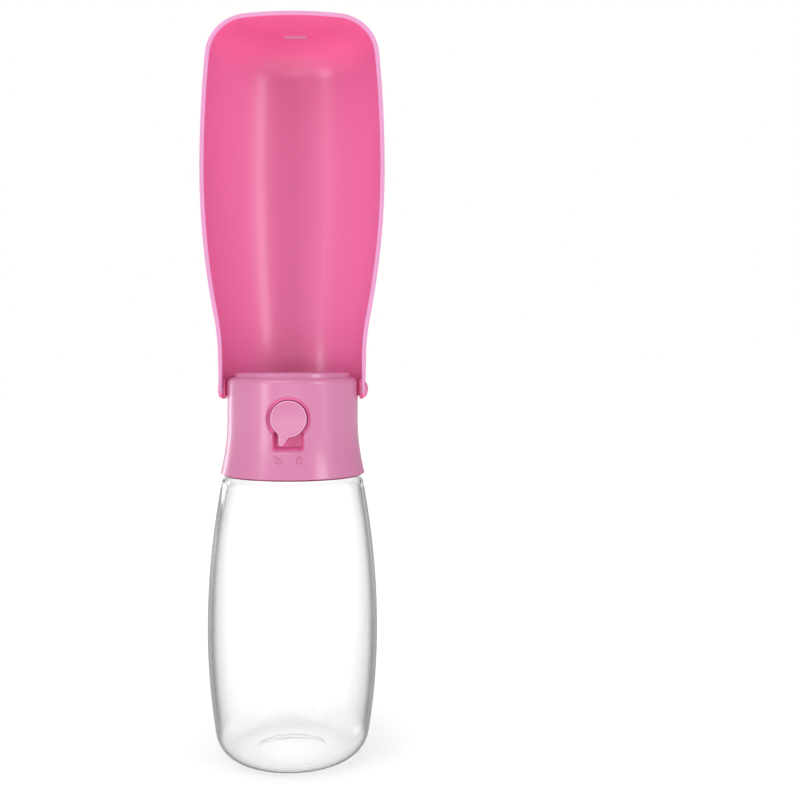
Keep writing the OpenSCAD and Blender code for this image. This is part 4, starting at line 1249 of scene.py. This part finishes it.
class AddStage(bpy.types.Operator):
    """Build the floor, the lamps, the sky and the camera"""

    bl_idname = "water_bottle.add_stage"
    bl_label = "Add Stage"

    def execute(self, context):
        self.floor()
        self.sky()
        self.lamp("left_low", (-0.62, -0.62, 0.15), (0.16, 0.25), 0.95)
        self.lamp("left_rim", (-0.58, 0.62, 0.22), (0.2, 0.3), 0.7)
        self.lamp("front_low", (0, -0.95, 0.05), (0.5, 0.08), 0.6)
        self.lamp("left_high", (-0.60, -0.60, 0.50), (0.16, 0.44), 0.32)
        self.lamp("right_low", (0.70, -0.40, 0.10), (0.12, 0.2), 0.15)
        self.lamp("right_high", (0.66, -0.52, 0.48), (0.24, 0.40), 1.9)
        self.lamp("top_soft", (-0.35, -0.5, 0.95), (0.7, 0.7), 3.4)
        self.camera()
        context.scene.view_settings.view_transform = "Standard"
        return {"FINISHED"}

    def floor(self):
        deselect_all()
        bpy.ops.mesh.primitive_plane_add(size=6, location=(0, 1, 0))
        floor = bpy.context.active_object
        floor.name = "studio_floor"
        apply_place(floor)
        material = bpy.data.materials.new("pale_floor")
        material.use_nodes = True
        nodes, links = material.node_tree.nodes, material.node_tree.links
        nodes.clear()
        output = nodes.new("ShaderNodeOutputMaterial")
        matt = nodes.new("ShaderNodeBsdfDiffuse")
        matt.inputs["Color"].default_value = (0.55, 0.55, 0.55, 1)
        glow = nodes.new("ShaderNodeEmission")
        glow.inputs["Color"].default_value = (1, 1, 1, 1)
        place = nodes.new("ShaderNodeTexCoord")
        reach = nodes.new("ShaderNodeVectorMath")
        reach.operation = "LENGTH"
        links.new(place.outputs["Object"], reach.inputs[0])
        # Painted shadow: the floor's glow dips in a ring round the bottle's base, standing for its contact shadow, and
        # rises further out so that the far floor stays white.
        glow_with_painted_shadow = grey_ramp(material, spread(material, reach.outputs["Value"], 0, 0.6, 0, 1),
                         ((0.035, 0.64), (0.05, 0.52), (0.065, 0.53), (0.11, 0.61), (1, 0.8)))
        dimmed = nodes.new("ShaderNodeMapRange")
        dimmed.inputs["To Min"].default_value = 1
        dimmed.inputs["To Max"].default_value = 0.35
        strength = nodes.new("ShaderNodeMath")
        strength.operation = "MULTIPLY"
        links.new(self.rays(material)[1], dimmed.inputs["Value"])
        links.new(glow_with_painted_shadow, strength.inputs[0])
        links.new(dimmed.outputs["Result"], strength.inputs[1])
        links.new(strength.outputs["Value"], glow.inputs["Strength"])
        both = nodes.new("ShaderNodeAddShader")
        links.new(matt.outputs["BSDF"], both.inputs[0])
        links.new(glow.outputs["Emission"], both.inputs[1])
        links.new(both.outputs["Shader"], output.inputs["Surface"])
        floor.data.materials.append(material)

    def rays(self, owner):
        """Two numbers: 1 for what is seen straight or through the bottle, and 1 for what is seen mirrored."""
        nodes, links = owner.node_tree.nodes, owner.node_tree.links
        path = nodes.new("ShaderNodeLightPath")
        seen, mirrored = nodes.new("ShaderNodeMath"), nodes.new("ShaderNodeMath")
        seen.operation = "MAXIMUM"
        mirrored.operation = "SUBTRACT"
        mirrored.use_clamp = True
        links.new(path.outputs["Is Camera Ray"], seen.inputs[0])
        links.new(path.outputs["Is Transmission Ray"], seen.inputs[1])
        links.new(path.outputs["Is Glossy Ray"], mirrored.inputs[0])
        links.new(path.outputs["Is Transmission Ray"], mirrored.inputs[1])
        return seen.outputs["Value"], mirrored.outputs["Value"]

    def sky(self):
        world = bpy.data.worlds.new("studio_sky")
        bpy.context.scene.world = world
        world.use_nodes = True
        nodes, links = world.node_tree.nodes, world.node_tree.links
        nodes.clear()
        output = nodes.new("ShaderNodeOutputWorld")
        soft = nodes.new("ShaderNodeBackground")
        soft.inputs["Color"].default_value = (1, 1, 1, 1)
        dimmed = nodes.new("ShaderNodeMapRange")
        dimmed.inputs["To Min"].default_value = 0.58
        dimmed.inputs["To Max"].default_value = 0.25
        white = nodes.new("ShaderNodeBackground")
        white.inputs["Strength"].default_value = 1.0
        white.inputs["Color"].default_value = (1, 1, 1, 1)
        seen, mirrored = self.rays(world)
        mix = nodes.new("ShaderNodeMixShader")
        links.new(mirrored, dimmed.inputs["Value"])
        links.new(dimmed.outputs["Result"], soft.inputs["Strength"])
        links.new(seen, mix.inputs["Fac"])
        links.new(soft.outputs["Background"], mix.inputs[1])
        links.new(white.outputs["Background"], mix.inputs[2])
        links.new(mix.outputs["Shader"], output.inputs["Surface"])

    def lamp(self, name, place, size, power):
        light = bpy.data.lights.new(name, "AREA")
        light.shape = "RECTANGLE"
        light.size, light.size_y = size
        light.energy = power
        lamp = bpy.data.objects.new(name, light)
        bpy.context.scene.collection.objects.link(lamp)
        lamp.location = place
        towards = Vector((0, 0, 0.17)) - Vector(place)
        lamp.rotation_euler = towards.to_track_quat("-Z", "Y").to_euler()
        return lamp

    def camera(self):
        stage = bpy.context.scene.bottle_stage
        data = bpy.data.cameras.new("photo_camera")
        data.sensor_width = 36
        data.lens = 45
        data.shift_x = 38.3 / 800
        data.shift_y = -39 / 800
        data.clip_start = 0.01
        data.clip_end = 20
        camera = bpy.data.objects.new("photo_camera", data)
        bpy.context.scene.collection.objects.link(camera)
        camera.location = (stage.camera_side, -stage.camera_distance, stage.camera_height)
        camera.rotation_euler = (math.pi / 2, 0, 0)
        bpy.context.scene.camera = camera


class WaterBottlePanel(bpy.types.Panel):
    """The bottle's sizes, colours and pieces"""

    bl_label = "Dog Travel Water Bottle"
    bl_idname = "VIEW3D_PT_water_bottle"
    bl_space_type = "VIEW_3D"
    bl_region_type = "UI"
    bl_category = "Water Bottle"

    def draw(self, context):
        scene = context.scene
        for group in (scene.bottle_sizes, scene.bottle_colours, scene.bottle_stage):
            box = self.layout.box()
            for name in group.__annotations__:
                box.prop(group, name)
        for operator in OPERATORS:
            self.layout.operator(operator.bl_idname)


GROUPS = {"bottle_sizes": BottleSizes, "bottle_colours": BottleColours, "bottle_stage": BottleStage}
OPERATORS = (AddBottle, AddHeadShell, AddSigns, AddTopDeck, AddButton, AddSpring, AddTrough, AddPins,
             DressFrame, AddStage)


def register():
    for name, group in GROUPS.items():
        bpy.utils.register_class(group)
        setattr(bpy.types.Scene, name, PointerProperty(type=group))
    for operator in OPERATORS:
        bpy.utils.register_class(operator)
    bpy.utils.register_class(WaterBottlePanel)


def unregister():
    bpy.utils.unregister_class(WaterBottlePanel)
    for operator in reversed(OPERATORS):
        bpy.utils.unregister_class(operator)
    for name, group in reversed(GROUPS.items()):
        delattr(bpy.types.Scene, name)
        bpy.utils.unregister_class(group)


def main():
    register()
    bpy.ops.water_bottle.add_bottle()
    bpy.ops.water_bottle.add_head_shell()
    bpy.ops.water_bottle.add_signs()
    bpy.ops.water_bottle.add_top_deck()
    bpy.ops.water_bottle.add_button()
    bpy.ops.water_bottle.add_spring()
    bpy.ops.water_bottle.add_trough()
    bpy.ops.water_bottle.add_pins()
    bpy.ops.water_bottle.dress_frame()
    bpy.ops.water_bottle.add_stage()
    deselect_all()


if __name__ == "__main__":
    main()
